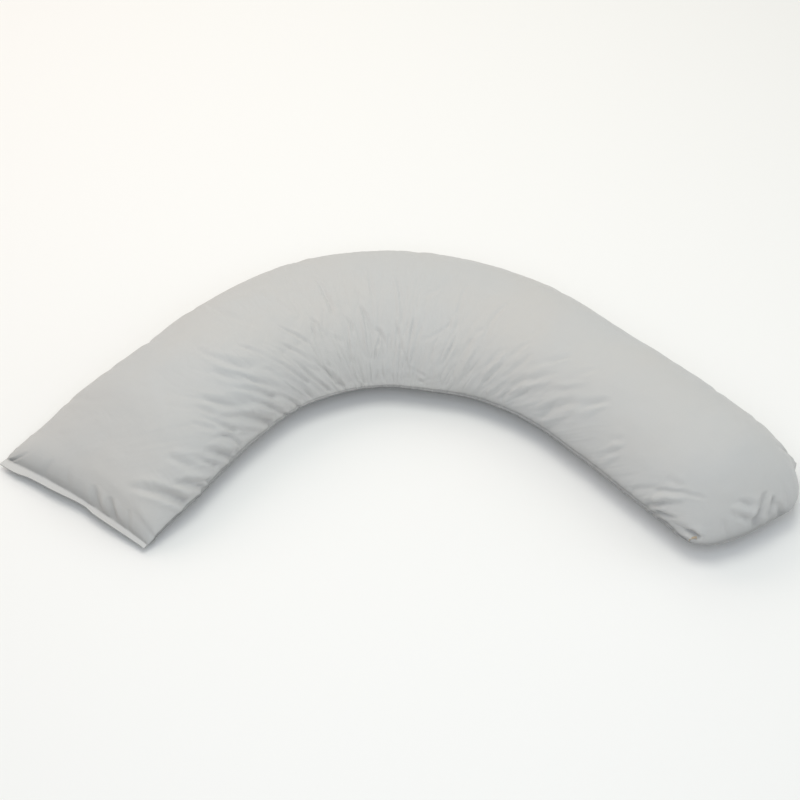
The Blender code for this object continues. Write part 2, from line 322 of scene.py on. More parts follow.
# The fine ripples that fan out of the inner seam: along, how far they lean for each
# metre of cloth from the seam, how far they reach, and how strong they are.
FAN = (
    (0.00, -0.3, 0.03, 0.3),
    (0.20, -1.4, 0.06, 0.8),
    (0.40, -1.4, 0.15, 1.0),
    (0.53, -0.9, 0.20, 1.1),
    (0.60, -0.7, 0.23, 1.2),
    (0.72, 0.0, 0.23, 1.2),
    (0.90, 0.1, 0.20, 1.1),
    (1.02, 0.4, 0.13, 1.0),
    (1.13, 0.8, 0.09, 1.0),
    (1.25, 1.3, 0.07, 0.9),
    (1.40, 1.1, 0.06, 0.7),
    (1.70, 1.0, 0.05, 0.7),
)

# How far the flange's raw edge strays outwards, from the inner corner to the outer.
FLANGE_EDGE = (
    (-1.00, -0.0030),
    (-0.45, 0.0005),
    (-0.30, 0.0000),
    (-0.15, -0.0045),
    (0.30, 0.0010),
    (0.60, 0.0005),
    (0.75, 0.0030),
    (1.00, -0.0010),
)

# The same for the turned end.
TURNED_EDGE = (
    (-1.00, 0.0015),
    (-0.85, 0.0060),
    (-0.55, -0.0025),
    (-0.20, -0.0055),
    (0.20, 0.0000),
    (0.40, 0.0080),
    (0.55, 0.0080),
    (0.70, 0.0030),
    (0.85, -0.0145),
    (1.00, -0.0100),
)


def clamp(values: Array) -> Array:
    """Keep values between 0 and 1."""
    return np.clip(values, 0, 1)


def ease(values: Array) -> Array:
    """Keep values between 0 and 1, with a soft start and a soft end."""
    part = clamp(values)
    return part**2 * (3 - 2 * part)


def bell(distance: Array, reach: ArrayLike, power: float = 2) -> Array:
    """Fall softly from 1 at no distance to about a third at the reach."""
    return np.exp(-((distance / reach) ** power))


def pairs(down: ArrayLike, over: ArrayLike) -> list[Array]:
    """Pair every place down with every place over, as two grids."""
    return np.meshgrid(down, over, indexing="ij")


def smooth_table(places: ArrayLike, values: ArrayLike, where: Array) -> Array:
    """Read a table along a smooth curve that never overshoots its rows.

    Args:
        places: where the rows lie.
        values: what the rows hold.
        where: the places to read.

    Returns:
        The values at those places.
    """
    places, values = np.asarray(places, float), np.asarray(values, float)
    slopes = np.diff(values) / np.diff(places)
    tangents = np.concatenate([slopes[:1], np.zeros(len(slopes) - 1), slopes[-1:]])
    before, after = slopes[:-1], slopes[1:]
    same_way = before * after > 0
    total = np.where(same_way, before + after, 1.0)
    tangents[1:-1] = np.where(same_way, 2 * before * after / total, 0.0)
    row = np.clip(np.searchsorted(places, where) - 1, 0, len(places) - 2)
    span = places[row + 1] - places[row]
    part = (where - places[row]) / span
    rest = 1 - part
    return (
        values[row] * (1 + 2 * part) * rest**2
        + tangents[row] * span * part * rest**2
        + values[row + 1] * part**2 * (3 - 2 * part)
        - tangents[row + 1] * span * part**2 * rest
    )


def resample(values: Array, places: tuple[Array, Array]) -> Array:
    """Read a grid between its rows and its columns, by a smooth cubic.

    Args:
        values: the grid.
        places: row numbers and column numbers to read, which may fall in between.

    Returns:
        The grid with as many rows and columns as there are places.
    """
    for axis, wanted in enumerate(places):
        rows = np.moveaxis(values, axis, 0)
        first = np.clip(np.floor(wanted).astype(int), 0, len(rows) - 2)
        part = (wanted - first).reshape([-1] + [1] * (rows.ndim - 1))
        a, b, c, d = (rows[np.clip(first + k, 0, len(rows) - 1)] for k in (-1, 0, 1, 2))
        cubic = 2 * a - 5 * b + 4 * c - d + part * (3 * b - a - 3 * c + d)
        values = np.moveaxis(b + part / 2 * (c - a + part * cubic), 0, axis)
    return values


def blur(values: Array, reaches: tuple[float, float]) -> Array:
    """Blur a grid along its rows and its columns.

    Args:
        values: the grid.
        reaches: the blur's standard deviations, in rows and in columns.

    Returns:
        The blurred grid, of the same size.
    """
    for axis, reach in enumerate(reaches):
        taps = int(3 * reach)
        weights = np.exp(-0.5 * (np.arange(-taps, taps + 1) / reach) ** 2)
        weights /= weights.sum()
        rows = np.moveaxis(values, axis, 0)
        padded = np.pad(rows, [(taps, taps)] + [(0, 0)] * (rows.ndim - 1), mode="edge")
        total = sum(w * padded[k : k + len(rows)] for k, w in enumerate(weights))
        values = np.moveaxis(total, 0, axis)
    return values


def soft_noise(size: tuple[int, int], cells: tuple[int, int], seed: int) -> Array:
    """Smooth bumps of random height over a grid, mostly between -1 and 1.

    Args:
        size: rows and columns of the result.
        cells: bumps along each axis.
        seed: seed of the random heights.

    Returns:
        A grid of heights.
    """
    heights = np.random.default_rng(seed).uniform(-1, 1, (cells[0] + 1, cells[1] + 1))
    down, over = (np.linspace(0, cells[k], size[k]) for k in (0, 1))
    return resample(heights, (down, over))


def lattice_noise(down: Array, over: Array, seed: int) -> Array:
    """Smooth bumps of random height, one for each whole step of two coordinates.

    Args:
        down: the first coordinate.
        over: the second coordinate, of the same size.
        seed: seed of the random heights.

    Returns:
        A height between -1 and 1 for each place.
    """
    rows, columns = 512, 64
    heights = np.random.default_rng(seed).uniform(-1, 1, (rows, columns))
    row, column = np.floor(down).astype(int), np.floor(over).astype(int)
    down, over = ease(down - row), ease(over - column)
    first, last = (
        heights[row % rows, step % columns] * (1 - down)
        + heights[(row + 1) % rows, step % columns] * down
        for step in (column, column + 1)
    )
    return first * (1 - over) + last * over


def grid_normals(points: Array) -> Array:
    """Unit normals of a grid of points, by the differences between neighbours."""
    normals = np.cross(np.gradient(points, axis=0), np.gradient(points, axis=1))
    return normals / np.maximum(np.linalg.norm(normals, axis=-1, keepdims=True), 1e-12)


def grid_faces(index: Array) -> Array:
    """Quads between neighbouring rows and columns of a grid of vertex numbers."""
    corners = (index[:-1, :-1], index[1:, :-1], index[1:, 1:], index[:-1, 1:])
    return np.stack(corners, axis=-1).reshape(-1, 4)


def add_object(name: str, data: bpy.types.ID) -> bpy.types.Object:
    """Make an object of some data, and link it into the scene.

    Args:
        name: its name.
        data: its mesh, camera or lamp.

    Returns:
        The object.
    """
    added = bpy.data.objects.new(name, data)
    bpy.context.scene.collection.objects.link(added)
    return added


def add_mesh(name: str, points: ArrayLike, edges: list, faces: list) -> bpy.types.Object:
    """Make an object of a new mesh of points, loose edges and faces.

    Args:
        name: the name of the object and of its mesh.
        points: its points.
        edges: its loose edges, as pairs of vertex numbers.
        faces: its faces, as vertex numbers.

    Returns:
        The object, linked into the scene.
    """
    mesh = bpy.data.meshes.new(name)
    mesh.from_pydata(np.asarray(points).tolist(), edges, faces)
    return add_object(name, mesh)


def discard(helper: bpy.types.Object) -> None:
    """Remove an object and its mesh.

    Args:
        helper: the object.
    """
    mesh = helper.data
    bpy.data.objects.remove(helper)
    bpy.data.meshes.remove(mesh)


@dataclass(frozen=True)
class CasingShape:
    """The smooth filled casing, without its creases."""

    sections: tuple[Section, ...] = SECTIONS
    cloth_width: float = 0.42
    flange_length: float = 0.015
    flange_thickness: float = 0.003
    flange_draw: float = 0.007
    flange_skew: float = -0.0242  # the flange is sewn askew
    flange_draw_spread: float = 0.25
    side_edges: Rows = SIDE_EDGES
    side_edge_start: float = 0.7  # from here outwards the sides are uneven in full
    flange_edge: Rows = FLANGE_EDGE
    turned_edge: Rows = TURNED_EDGE
    turned_edge_spread: float = 0.12
    corner_droop: float = 0.012
    corner_droop_spread: float = 0.15
    turned_end_reach: float = 0.065
    turned_end_spread: float = 0.30
    face_shoulder: float = 2.4
    face_round: float = 0.58
    floor_edge: float = 0.50  # the underside is flat on the floor this far across
    underside_curve: float = 1.6
    end_shoulder: float = 2.3
    end_round: float = 0.55
    underside_end_round: float = 0.60
    turned_face_rise: float = 0.13
    turned_underside_rise: float = 0.12
    flanged_underside_rise: float = 0.10
    line_steps: int = 2000
    flange_rows: int = 4
    measuring_grid: tuple[int, int] = (300, 40)  # stations and strips that find its middle

    @property
    def length(self) -> float:
        """Length down the middle line between the two ends' corners."""
        return self.sections[-1].along

    def column(self, name: str, along: Array) -> Array:
        """One column of the section table, read along the pillow.

        Args:
            name: the column.
            along: places along the pillow.

        Returns:
            Its value at each place.
        """
        places, values = (
            [getattr(section, key) for section in self.sections] for key in ("along", name)
        )
        return smooth_table(places, values, along)

    def heading(self, along: Array) -> Array:
        """Direction of the middle line in radians."""
        return np.radians(self.column("heading", along))

    def stretch(self, along: Array) -> Array:
        """Length of cloth for each metre along the pillow."""
        return np.ones_like(along)

    def middle_line(self, along: Array) -> tuple[Array, Array]:
        """Points of the middle line, summed up from its headings.

        Args:
            along: places along the pillow.

        Returns:
            Their x and y.
        """
        steps = np.linspace(0, self.length, self.line_steps)
        middle = (steps[1:] + steps[:-1]) / 2
        heading = self.heading(middle)
        stride = np.diff(steps) * self.stretch(middle)
        x = np.concatenate([[0.0], np.cumsum(np.cos(heading) * stride)])
        y = np.concatenate([[0.0], np.cumsum(np.sin(heading) * stride)])
        return np.interp(along, steps, x), np.interp(along, steps, y)

    def _strays(self, along: Array, across: Array) -> Array:
        """How far the unevenness of the casing's sides moves places across it.

        Args:
            along: grid of places along the pillow.
            across: grid of places across it.

        Returns:
            Moves towards the outer seam.
        """
        places, inner, outer = zip(*self.side_edges)
        outward = smooth_table(places, outer, along) * (across > 0)
        outward = outward - smooth_table(places, inner, along) * (across < 0)
        return ease(np.abs(across) / self.side_edge_start) * outward

    def plan(self, along: Array, across: Array) -> tuple[Array, Array]:
        """Where places on the cloth lie, seen from above.

        Args:
            along: grid of places along the pillow.
            across: grid of places across it.

        Returns:
            Their x and y.
        """
        x, y = self.middle_line(along)
        heading = self.heading(along)
        side = self.column("width", along) / 2 * across + self._strays(along, across)
        near_turned = clamp((along - self.length + self.turned_end_spread) / self.turned_end_spread)
        in_turned = clamp(1 - (self.length - along) / self.turned_edge_spread)
        near_flange = clamp(1 - along / self.flange_draw_spread)
        in_flange = clamp(1 - along / self.flange_length)
        fullness = 1 - np.abs(across) ** self.face_shoulder
        drawn = self.flange_draw * (1 - across**2) + self.flange_skew * across
        reach = self.turned_end_reach * near_turned**2 * fullness
        reach = reach + in_turned**2 * smooth_table(*zip(*self.turned_edge), across)
        reach = reach + drawn * near_flange**2
        reach = reach - in_flange * smooth_table(*zip(*self.flange_edge), across)
        return (
            x - np.sin(heading) * side + np.cos(heading) * reach,
            y + np.cos(heading) * side + np.sin(heading) * reach,
        )

    def rise(self, distance: Array, length: float, roundness: float) -> Array:
        """How full the section is at a distance from an end."""
        return (1 - (1 - clamp(distance / length)) ** self.end_shoulder) ** roundness

    def seam_heights(self, along: Array, across: Array) -> Array:
        """The height at which the two cloths would meet."""
        near_flange = clamp(1 - along / self.corner_droop_spread)
        return self.column("seam", along) - self.corner_droop * near_flange * across**2

    def _raised(self, along: Array, across: Array, seam: Array, height: Array) -> Array:
        """Points at some heights, which close on the seam at the sides and the turned end.

        Args:
            along: grid of places along the pillow.
            across: grid of places across it.
            seam: heights of the seam there.
            height: heights of the cloth there.

        Returns:
            A grid of points.
        """
        height[:, [0, -1]] = seam[:, [0, -1]]
        height[-1] = seam[-1]
        return np.stack([*self.plan(along, across), height], axis=-1)

    def face(self, along: Array, across: Array) -> Array:
        """Points of the upper cloth.

        Args:
            along: grid of places along the pillow.
            across: grid of places across it.

        Returns:
            A grid of points.
        """
        seam = self.seam_heights(along, across)
        crown = self.column("crown", along) - self.column("seam", along)
        rise = self.rise(self.length - along, self.turned_face_rise, self.end_round)
        profile = (1 - np.abs(across) ** self.face_shoulder) ** self.face_round
        flat = along <= self.flange_length
        height = np.where(flat, seam + self.flange_thickness / 2, seam + crown * profile * rise)
        return self._raised(along, across, seam, height)

    def underside(self, along: Array, across: Array) -> Array:
        """Points of the lower cloth, which is flat where it rests on the floor.

        Args:
            along: grid of places along the pillow.
            across: grid of places across it.

        Returns:
            A grid of points.
        """
        seam = self.seam_heights(along, across)
        round_end = self.underside_end_round
        turned = self.rise(self.length - along, self.turned_underside_rise, round_end)
        flanged = self.rise(along - self.flange_length, self.flanged_underside_rise, round_end)
        past_floor = clamp((np.abs(across) - self.floor_edge) / (1 - self.floor_edge))
        fullness = turned * flanged * (1 - past_floor**self.underside_curve)
        flat = along <= self.flange_length
        height = np.where(flat, seam - self.flange_thickness / 2, seam * (1 - fullness))
        return self._raised(along, across, seam, height)

    def over_cloth(self, across: Array) -> Array:
        """Distance over the cloth from the middle line to a place across it."""
        return np.arcsin(np.clip(across, -1, 1)) / math.pi * self.cloth_width

    def to_seam(self, across: Array) -> Array:
        """Distance over the cloth from a place across it to the nearer seam."""
        return self.cloth_width / 2 - np.abs(self.over_cloth(across))

    def over_crown(self, along: Array) -> Array:
        """Distance over the cloth of the crown from the flange's edge to a place.

        Args:
            along: places along the pillow.

        Returns:
            A distance for each place.
        """
        steps = np.linspace(0, self.length, 2 * self.line_steps)
        crown = self.face(*pairs(steps, [-1.0, 0.0, 1.0]))[:, 1]
        strides = np.linalg.norm(np.diff(crown, axis=0), axis=-1)
        return np.interp(along, steps, np.concatenate([[0.0], np.cumsum(strides)]))

    def stations(self, count: int) -> Array:
        """Places along the pillow, evenly apart over the cloth of its crown.

        Args:
            count: how many places there are between the flange's foot and the far end.

        Returns:
            The places, with the flange's own first.
        """
        along = np.linspace(self.flange_length, self.length, 2 * self.line_steps)
        over = self.over_crown(along)
        body = np.interp(np.linspace(over[0], over[-1], count), over, along)
        flange = np.linspace(0, self.flange_length, self.flange_rows + 1)[:-1]
        return np.concatenate([flange, body])

    def strips(self, count: int) -> Array:
        """Places across the pillow, evenly apart over the cloth."""
        return np.sin(np.linspace(-math.pi / 2, math.pi / 2, count + 1))

    def placed_shift(self) -> Array:
        """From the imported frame's place to where the casing's own points lie.

        Returns:
            The shift, which keeps heights as they are.
        """
        ends = ((-1.0, 0.0), (0.0, 0.0), (1.0, 0.0))
        sides = ((0.0, 0.0, 0.0), (1.0, 0.0, 0.0), (2.0, 0.0, 0.0))
        even = replace(self, side_edges=sides, flange_edge=ends)
        stations, strips = self.measuring_grid
        points = even.face(*pairs(even.stations(stations), even.strips(strips))).reshape(-1, 3)
        own = (points.min(0) + points.max(0)) / 2
        low, high = (np.array(corner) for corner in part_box(NODE))
        shift = own - (low + high) / 2
        shift[2] = 0
        return shift


@dataclass(frozen=True)
class CutShape(CasingShape):
    """The casing as it was cut: less bent, so that its inner side is too long.

    Its outer seam is as long as the one that lies on the floor.  Its inner seam is
    longer by the slack of the table, and that surplus crumples.
    """

    slack_places: tuple[float, ...] = (0.0, 0.05, 0.15, 0.45, 0.60, 1.20, 1.35, 1.60, 1.71)
    slack: tuple[float, ...] = (0.02, 0.06, 0.10, 0.11, 0.14, 0.14, 0.10, 0.06, 0.04)

    def _bend(self) -> tuple[Array, Array, Array]:
        """Places, stretch and turning of the cut casing's middle line.

        Returns:
            The places, the stretch there and the direction there in radians.
        """
        steps = np.linspace(0, self.length, self.line_steps)
        half = self.column("width", steps) / 2
        heading = np.radians(self.column("heading", steps))
        lies = -np.gradient(heading, steps) * half
        slack = smooth_table(self.slack_places, self.slack, steps)
        stretch = 1 + slack * (1 - lies) / 2
        cut = (1 + lies) / stretch - 1
        turn = np.cumsum(cut / half * stretch) * (steps[1] - steps[0])
        return steps, stretch, heading[0] - turn

    def heading(self, along: Array) -> Array:
        """Direction of the cut casing's middle line in radians."""
        steps, _, heading = self._bend()
        return np.interp(along, steps, heading)

    def stretch(self, along: Array) -> Array:
        """Length of cloth for each metre along the pillow."""
        steps, stretch, _ = self._bend()
        return np.interp(along, steps, stretch)


@dataclass(frozen=True)
class CreaseField:
    """Heights of a set of creases over the cloth."""

    shape: CasingShape
    creases: tuple[Crease, ...]
    sharpness: float = 1.55  # 1 is a folded edge, 2 a round trough
    bank_height: float = 0.38
    bank_offset: float = 1.8
    bank_spread: float = 0.9
    rooted: float = 0.90  # a crease that starts this far across runs out of its seam
    rooted_fade: float = 0.9
    free_fade: float = 0.8
    tip_width: float = 0.60
    overrun: float = 0.12  # how much of its length a crease fades past its ends
    touched: float = 5.0  # how many half widths off its line a crease is worked out
    wander: float = 0.0007
    fine_wander: float = 0.5
    # Wavelengths over and along the cloth and phases, for the shifts along and over it.
    wander_waves: tuple[Rows, Rows] = (
        ((0.037, 0.110, 0.0), (0.019, -0.070, 1.3)),
        ((0.090, 0.041, 2.1), (-0.060, 0.023, 4.0)),
    )
    deepest: float = 0.0095
    highest: float = 0.0045
    seam_hold: float = 0.60
    seam_hold_reach: float = 0.012

    def _wandered(self, along: Array, over: Array) -> list[Array]:
        """Places shifted a little to and fro, so that no crease is quite straight.

        Args:
            along: distances over the cloth from the flange's edge.
            over: distances over the cloth from the middle line.

        Returns:
            Both, shifted.
        """
        shifted = []
        for places, waves in zip((along, over), self.wander_waves):
            broad, fine = (
                np.sin(2 * math.pi * (over / wave_over + along / wave_along) + phase)
                for wave_over, wave_along, phase in waves
            )
            shifted.append(places + self.wander * (broad + self.fine_wander * fine))
        return shifted

    def _run(self, crease: Crease, along: Array, over: Array) -> tuple[Array, Array]:
        """Where the cloth lies on one crease.

        Args:
            crease: the crease.
            along: distances over the cloth from the flange's edge.
            over: distances over the cloth from the middle line.

        Returns:
            The crease's strength there, and the distance off it in half widths.
        """
        root, tip = self.shape.over_cloth(np.array([crease.root_across, crease.tip_across]))
        start, end = self.shape.over_crown(np.array([crease.root_along, crease.tip_along]))
        run_along, run_over = end - start, tip - root
        length = math.hypot(run_along, run_over)
        part = ((along - start) * run_along + (over - root) * run_over) / length**2
        off = ((along - start) * run_over - (over - root) * run_along) / length
        off = off - crease.bow * 4 * part * (1 - part)
        in_seam = abs(crease.root_across) >= self.rooted
        before = 0.0 if in_seam else self.overrun
        part = (part + before) / (1 + before + self.overrun)
        inside = clamp(part)
        past = np.abs(part - inside) * length / crease.half_width
        if in_seam:
            strength = (1 - inside**2) ** self.rooted_fade
        else:
            strength = (4 * inside * (1 - inside)) ** self.free_fade
        width = crease.half_width * (1 - (1 - self.tip_width) * inside**2)
        return strength * bell(past, 1), off / width

    def _profile(self, off: Array) -> Array:
        """Height across a crease, 1 on its line and below 0 beside it."""
        bank = bell(np.abs(off) - self.bank_offset, self.bank_spread)
        return bell(np.abs(off), 1, self.sharpness) - self.bank_height * bank

    def heights(self, along: Array, across: Array) -> Array:
        """Height of the creased cloth over the smooth cloth.

        Args:
            along: grid of places along the pillow.
            across: grid of places across it.

        Returns:
            A height for each place.
        """
        line, over = self._wandered(self.shape.over_crown(along), self.shape.over_cloth(across))
        total = np.zeros_like(along)
        for crease in self.creases:
            reach = self.touched * crease.half_width + abs(crease.bow)
            ends = self.shape.over_crown(np.array([crease.root_along, crease.tip_along]))
            rows = (line[:, 0] > ends.min() - reach) & (line[:, 0] < ends.max() + reach)
            strength, off = self._run(crease, line[rows], over[rows])
            total[rows] += crease.kind.value * crease.depth * strength * self._profile(off)
        most = np.where(total < 0, self.deepest, self.highest)
        total = most * np.tanh(total / most)
        near_seam = clamp(self.shape.to_seam(across) / self.seam_hold_reach)
        held = self.seam_hold + (1 - self.seam_hold) * near_seam
        return total * held * (along > self.shape.flange_length)


@dataclass(frozen=True)
class FanRipples:
    """Fine ripples between the creases, which run out of the inner seam."""

    shape: CasingShape
    fan: Rows = FAN
    spacing: float = 0.012
    run: float = 0.05
    fine_scale: tuple[float, float] = (1.9, 1.3)  # across the ripples and down them
    fine_share: float = 0.4
    height: float = 0.0026
    narrowness: float = 3.0
    level: float = 0.35  # what a valley's mean height comes to
    seed: int = 21
    root_rounds: int = 4

    def _valleys(self, down: Array, over: Array, seed: int) -> Array:
        """Narrow valleys where a noise passes through 0."""
        noise = lattice_noise(down, over, seed)
        return np.exp(-self.narrowness * np.abs(noise)) - self.level

    def heights(self, along: Array, across: Array) -> Array:
        """Height of the rippled cloth over the smooth cloth.

        Args:
            along: grid of places along the pillow.
            across: grid of places across it.

        Returns:
            A height for each place.
        """
        from_seam = self.shape.cloth_width / 2 + self.shape.over_cloth(across)
        places, leans, reaches, strengths = np.array(self.fan).T
        root = along
        for _ in range(self.root_rounds):
            root = along - np.interp(root, places, leans) * from_seam
        down, over = root / self.spacing, from_seam / self.run
        fine_down, fine_over = (at * by for at, by in zip((down, over), self.fine_scale))
        valley = self._valleys(down, over, self.seed)
        valley = valley + self.fine_share * self._valleys(fine_down, fine_over, self.seed + 1)
        fade = bell(from_seam, np.interp(root, places, reaches))
        return -self.height * np.interp(root, places, strengths) * fade * valley


@dataclass(frozen=True)
class ClothSettling:
    """Crumples the casing's face by a cloth simulation.

    The cloth is as long as it was cut, and is held at its seams where the casing
    lies, so that what is too long on the inner side has to buckle.
    """

    lies: CasingShape
    cut: CutShape
    creases: CreaseField
    rows: int = 400
    strips: int = 100
    frames: int = 14
    quality: int = 5
    pressure: float = 40.0
    mass: float = 0.1
    stretch_stiffness: float = 15.0
    shear_stiffness: float = 5.0
    bending_stiffness: float = 0.02
    air_drag: float = 1.0
    swell_reach: float = 0.040  # what is broader than this is shape, not crumple
    cap: float = 0.011

    def _cloth(self, along: Array, across: Array) -> bpy.types.Object:
        """The face as a grid of cloth, with its cut shape as a shape key.

        Args:
            along: grid of places along the pillow.
            across: grid of places across it.

        Returns:
            The cloth, pressed into its creases and lying in its bend.
        """
        smooth = self.lies.face(along, across)
        pressed = smooth + grid_normals(smooth) * self.creases.heights(along, across)[..., None]
        index = np.arange(along.size).reshape(along.shape)
        faces = grid_faces(index).tolist()
        cloth = add_mesh("settling_cloth", pressed.reshape(-1, 3), [], faces)
        cloth.shape_key_add(name="lies")
        key = cloth.shape_key_add(name="cut")
        key.data.foreach_set("co", self.cut.face(along, across).ravel())
        key.value = 0
        flange = index[along[:, 0] <= self.lies.flange_length]
        held = np.concatenate([index[:, [0, -1]].ravel(), index[-1], flange.ravel()])
        cloth.vertex_groups.new(name="held").add(np.unique(held).tolist(), 1.0, "REPLACE")
        return cloth

    def _stiffen(self, cloth: bpy.types.Object) -> None:
        """Give the cloth its simulation settings.

        Args:
            cloth: the cloth.
        """
        modifier = cloth.modifiers.new("Cloth", "CLOTH")
        settings = modifier.settings
        settings.quality = self.quality
        settings.mass = self.mass
        settings.tension_stiffness = self.stretch_stiffness
        settings.compression_stiffness = self.stretch_stiffness
        settings.shear_stiffness = self.shear_stiffness
        settings.bending_stiffness = self.bending_stiffness
        settings.air_damping = self.air_drag
        settings.effector_weights.gravity = 0
        settings.use_pressure = True
        settings.uniform_pressure_force = self.pressure
        settings.vertex_group_mass = "held"
        settings.rest_shape_key = cloth.data.shape_keys.key_blocks["cut"]
        modifier.collision_settings.use_collision = False
        modifier.collision_settings.use_self_collision = False
        modifier.point_cache.frame_start = 1
        modifier.point_cache.frame_end = self.frames + 1

    def displacement(self, along: Array, across: Array) -> Array:
        """How far the crumpled cloth stands from the smooth one.

        Args:
            along: the stations wanted.
            across: the places across wanted.

        Returns:
            A vector for each station and place.
        """
        sim_along, sim_across = self.lies.stations(self.rows), self.lies.strips(self.strips)
        grid = pairs(sim_along, sim_across)
        smooth = self.lies.face(*grid)
        cloth = self._cloth(*grid)
        self._stiffen(cloth)
        for number in range(1, self.frames + 1):
            bpy.context.scene.frame_set(number)
        evaluated = cloth.evaluated_get(bpy.context.evaluated_depsgraph_get())
        points = np.empty(smooth.size, dtype=np.float32)
        evaluated.to_mesh().vertices.foreach_get("co", points)
        evaluated.to_mesh_clear()
        moved = points.reshape(smooth.shape).astype(float) - smooth
        discard(cloth)
        bpy.context.scene.frame_set(1)
        steps = self.lies.length / self.rows, self.lies.cloth_width / self.strips
        moved = moved - blur(moved, tuple(self.swell_reach / step for step in steps))
        size = np.linalg.norm(moved, axis=-1, keepdims=True)
        moved = moved * self.cap * np.tanh(size / self.cap) / np.maximum(size, 1e-9)
        rows = np.interp(along, sim_along, np.arange(len(sim_along)))
        over, sim_over = (self.lies.over_cloth(places) for places in (across, sim_across))
        return resample(moved, (rows, np.interp(over, sim_over, np.arange(len(sim_over)))))


@dataclass(frozen=True)
class SeamWork:
    """How the cloth is drawn in and puckered beside the side seams."""

    shape: CasingShape
    pucker_height: float = 0.0012
    pucker_reach: float = 0.014
    pucker_rise: float = 0.7  # the upward share of a pucker
    # Wavelength, strength, phase, and the phase's steps between the two seams.
    puckers: Rows = (
        (0.0310, 0.45, 0.4, 1.0),
        (0.0197, 0.40, 2.1, 3.0),
        (0.0128, 0.25, 4.4, 2.0),
        (0.0733, 0.35, 1.3, 5.0),
    )
    phase_step: float = 1.7
    flange_fade: float = 0.02
    end_fade: float = 0.01
    lip_reach: float = 0.0010
    lip_width: float = 0.0015
    groove_depth: float = 0.0028
    groove_width: float = 0.0034
    outer_groove_depth: float = 0.0012
    outer_groove_place: float = 0.006

    def moves(self, along: Array, across: Array) -> tuple[Array, Array]:
        """How far the seam work moves the cloth.

        Args:
            along: grid of places along the pillow.
            across: grid of places across it.

        Returns:
            Outward moves in plan, and upward moves.
        """
        to_seam = self.shape.to_seam(across)
        on_inner = across < 0
        side = np.where(on_inner, 0.0, self.phase_step)
        waves = sum(
            strength * np.sin(2 * math.pi * along / wavelength + phase + side * steps)
            for wavelength, strength, phase, steps in self.puckers
        )
        near = bell(to_seam, self.pucker_reach)
        body = clamp((along - self.shape.flange_length) / self.flange_fade)
        body = body * clamp((self.shape.length - along) / self.end_fade)
        lip = self.lip_reach * bell(to_seam, self.lip_width)
        places, _, _, grooves = np.array(INNER_SEAM).T
        inner_place = np.interp(along, places, grooves)
        groove_place = np.where(on_inner, inner_place, self.outer_groove_place)
        depth = np.where(on_inner, self.groove_depth, self.outer_groove_depth)
        groove = depth * bell(to_seam - groove_place, self.groove_width)
        outward = body * (lip - groove + self.pucker_height * waves * near)
        return outward, body * self.pucker_height * self.pucker_rise * waves * near


@dataclass(frozen=True)
class ShadeBand:
    """Painted shade: colour painted darker beside a line where the cloth turns in."""

    share: float
    reach: float
    power: float

    def lost(self, distance: Array, part: ArrayLike = 1) -> Array:
        """The share of painted shade at a distance from the line, where only a part of it is
        shaded.
        """
        return self.share * part * bell(distance, self.reach, self.power)


@dataclass(frozen=True)
class PaintedShadeAndGlow:
    """Painted shade in the cloth's colour beside its seams, at the flange's foot, at the turned end
    and in crease valleys, and a painted glow on the thin flange.
    """

    shape: CasingShape
    inner_power: float = 1.6
    outer: ShadeBand = ShadeBand(0.06, 0.006, 2)
    foot: ShadeBand = ShadeBand(0.22, 0.027, 1.5)
    end: ShadeBand = ShadeBand(0.38, 0.014, 1.3)
    end_places: tuple[float, ...] = (-1.0, 0.2, 0.5, 1.0)  # across the turned end
    end_shares: tuple[float, ...] = (1, 1, 0.35, 0.35)
    thin_start: float = 0.003  # past the foot, from where the painted glow on the flange starts
    thin_fade: float = 0.006  # towards the raw edge, until the painted glow is in full
    # painted glow: how much lighter the thin flange's colour is painted
    flange_painted_glow: float = 0.135
    # painted shade: how much darker the crease valleys are painted
    valley_painted_shade: float = 0.06
    valley_start: float = 0.001
    valley_fade: float = 0.006

    def lost(self, along: Array, across: Array, heights: Array) -> Array:
        """How much darker the colour is painted, as painted shade.

        Args:
            along: grid of places along the pillow.
            across: grid of places across it.
            heights: how far the creases lift the cloth there.

        Returns:
            The share of painted shade at each place, below 0 where a painted glow lights the thin
            flange.
        """
        half = self.shape.cloth_width / 2
        over = self.shape.over_cloth(across)
        places, reaches, shares, _ = np.array(INNER_SEAM).T
        # painted shade beside the inner seam
        near = bell(half + over, np.interp(along, places, reaches), self.inner_power)
        inner = np.interp(along, places, shares) * near
        line = self.shape.over_crown(along)
        foot, end = self.shape.over_crown(np.array([self.shape.flange_length, self.shape.length]))
        thin = clamp((foot + self.thin_start - line) / self.thin_fade)
        # painted shade at the flange's foot, and painted glow on the thin flange
        flange = self.foot.lost(abs(line - foot)) * (1 - thin) - self.flange_painted_glow * thin
        # painted shade at the turned end
        turned = self.end.lost(end - line, np.interp(across, self.end_places, self.end_shares))
        # painted shade in the crease valleys
        valleys = self.valley_painted_shade * clamp((-heights - self.valley_start) / self.valley_fade)
        # all the painted shade together, with the painted shade beside the outer seam
        kept = (1 - inner) * (1 - self.outer.lost(half - over)) * (1 - flange) * (1 - turned)
        return 1 - kept * (1 - valleys)


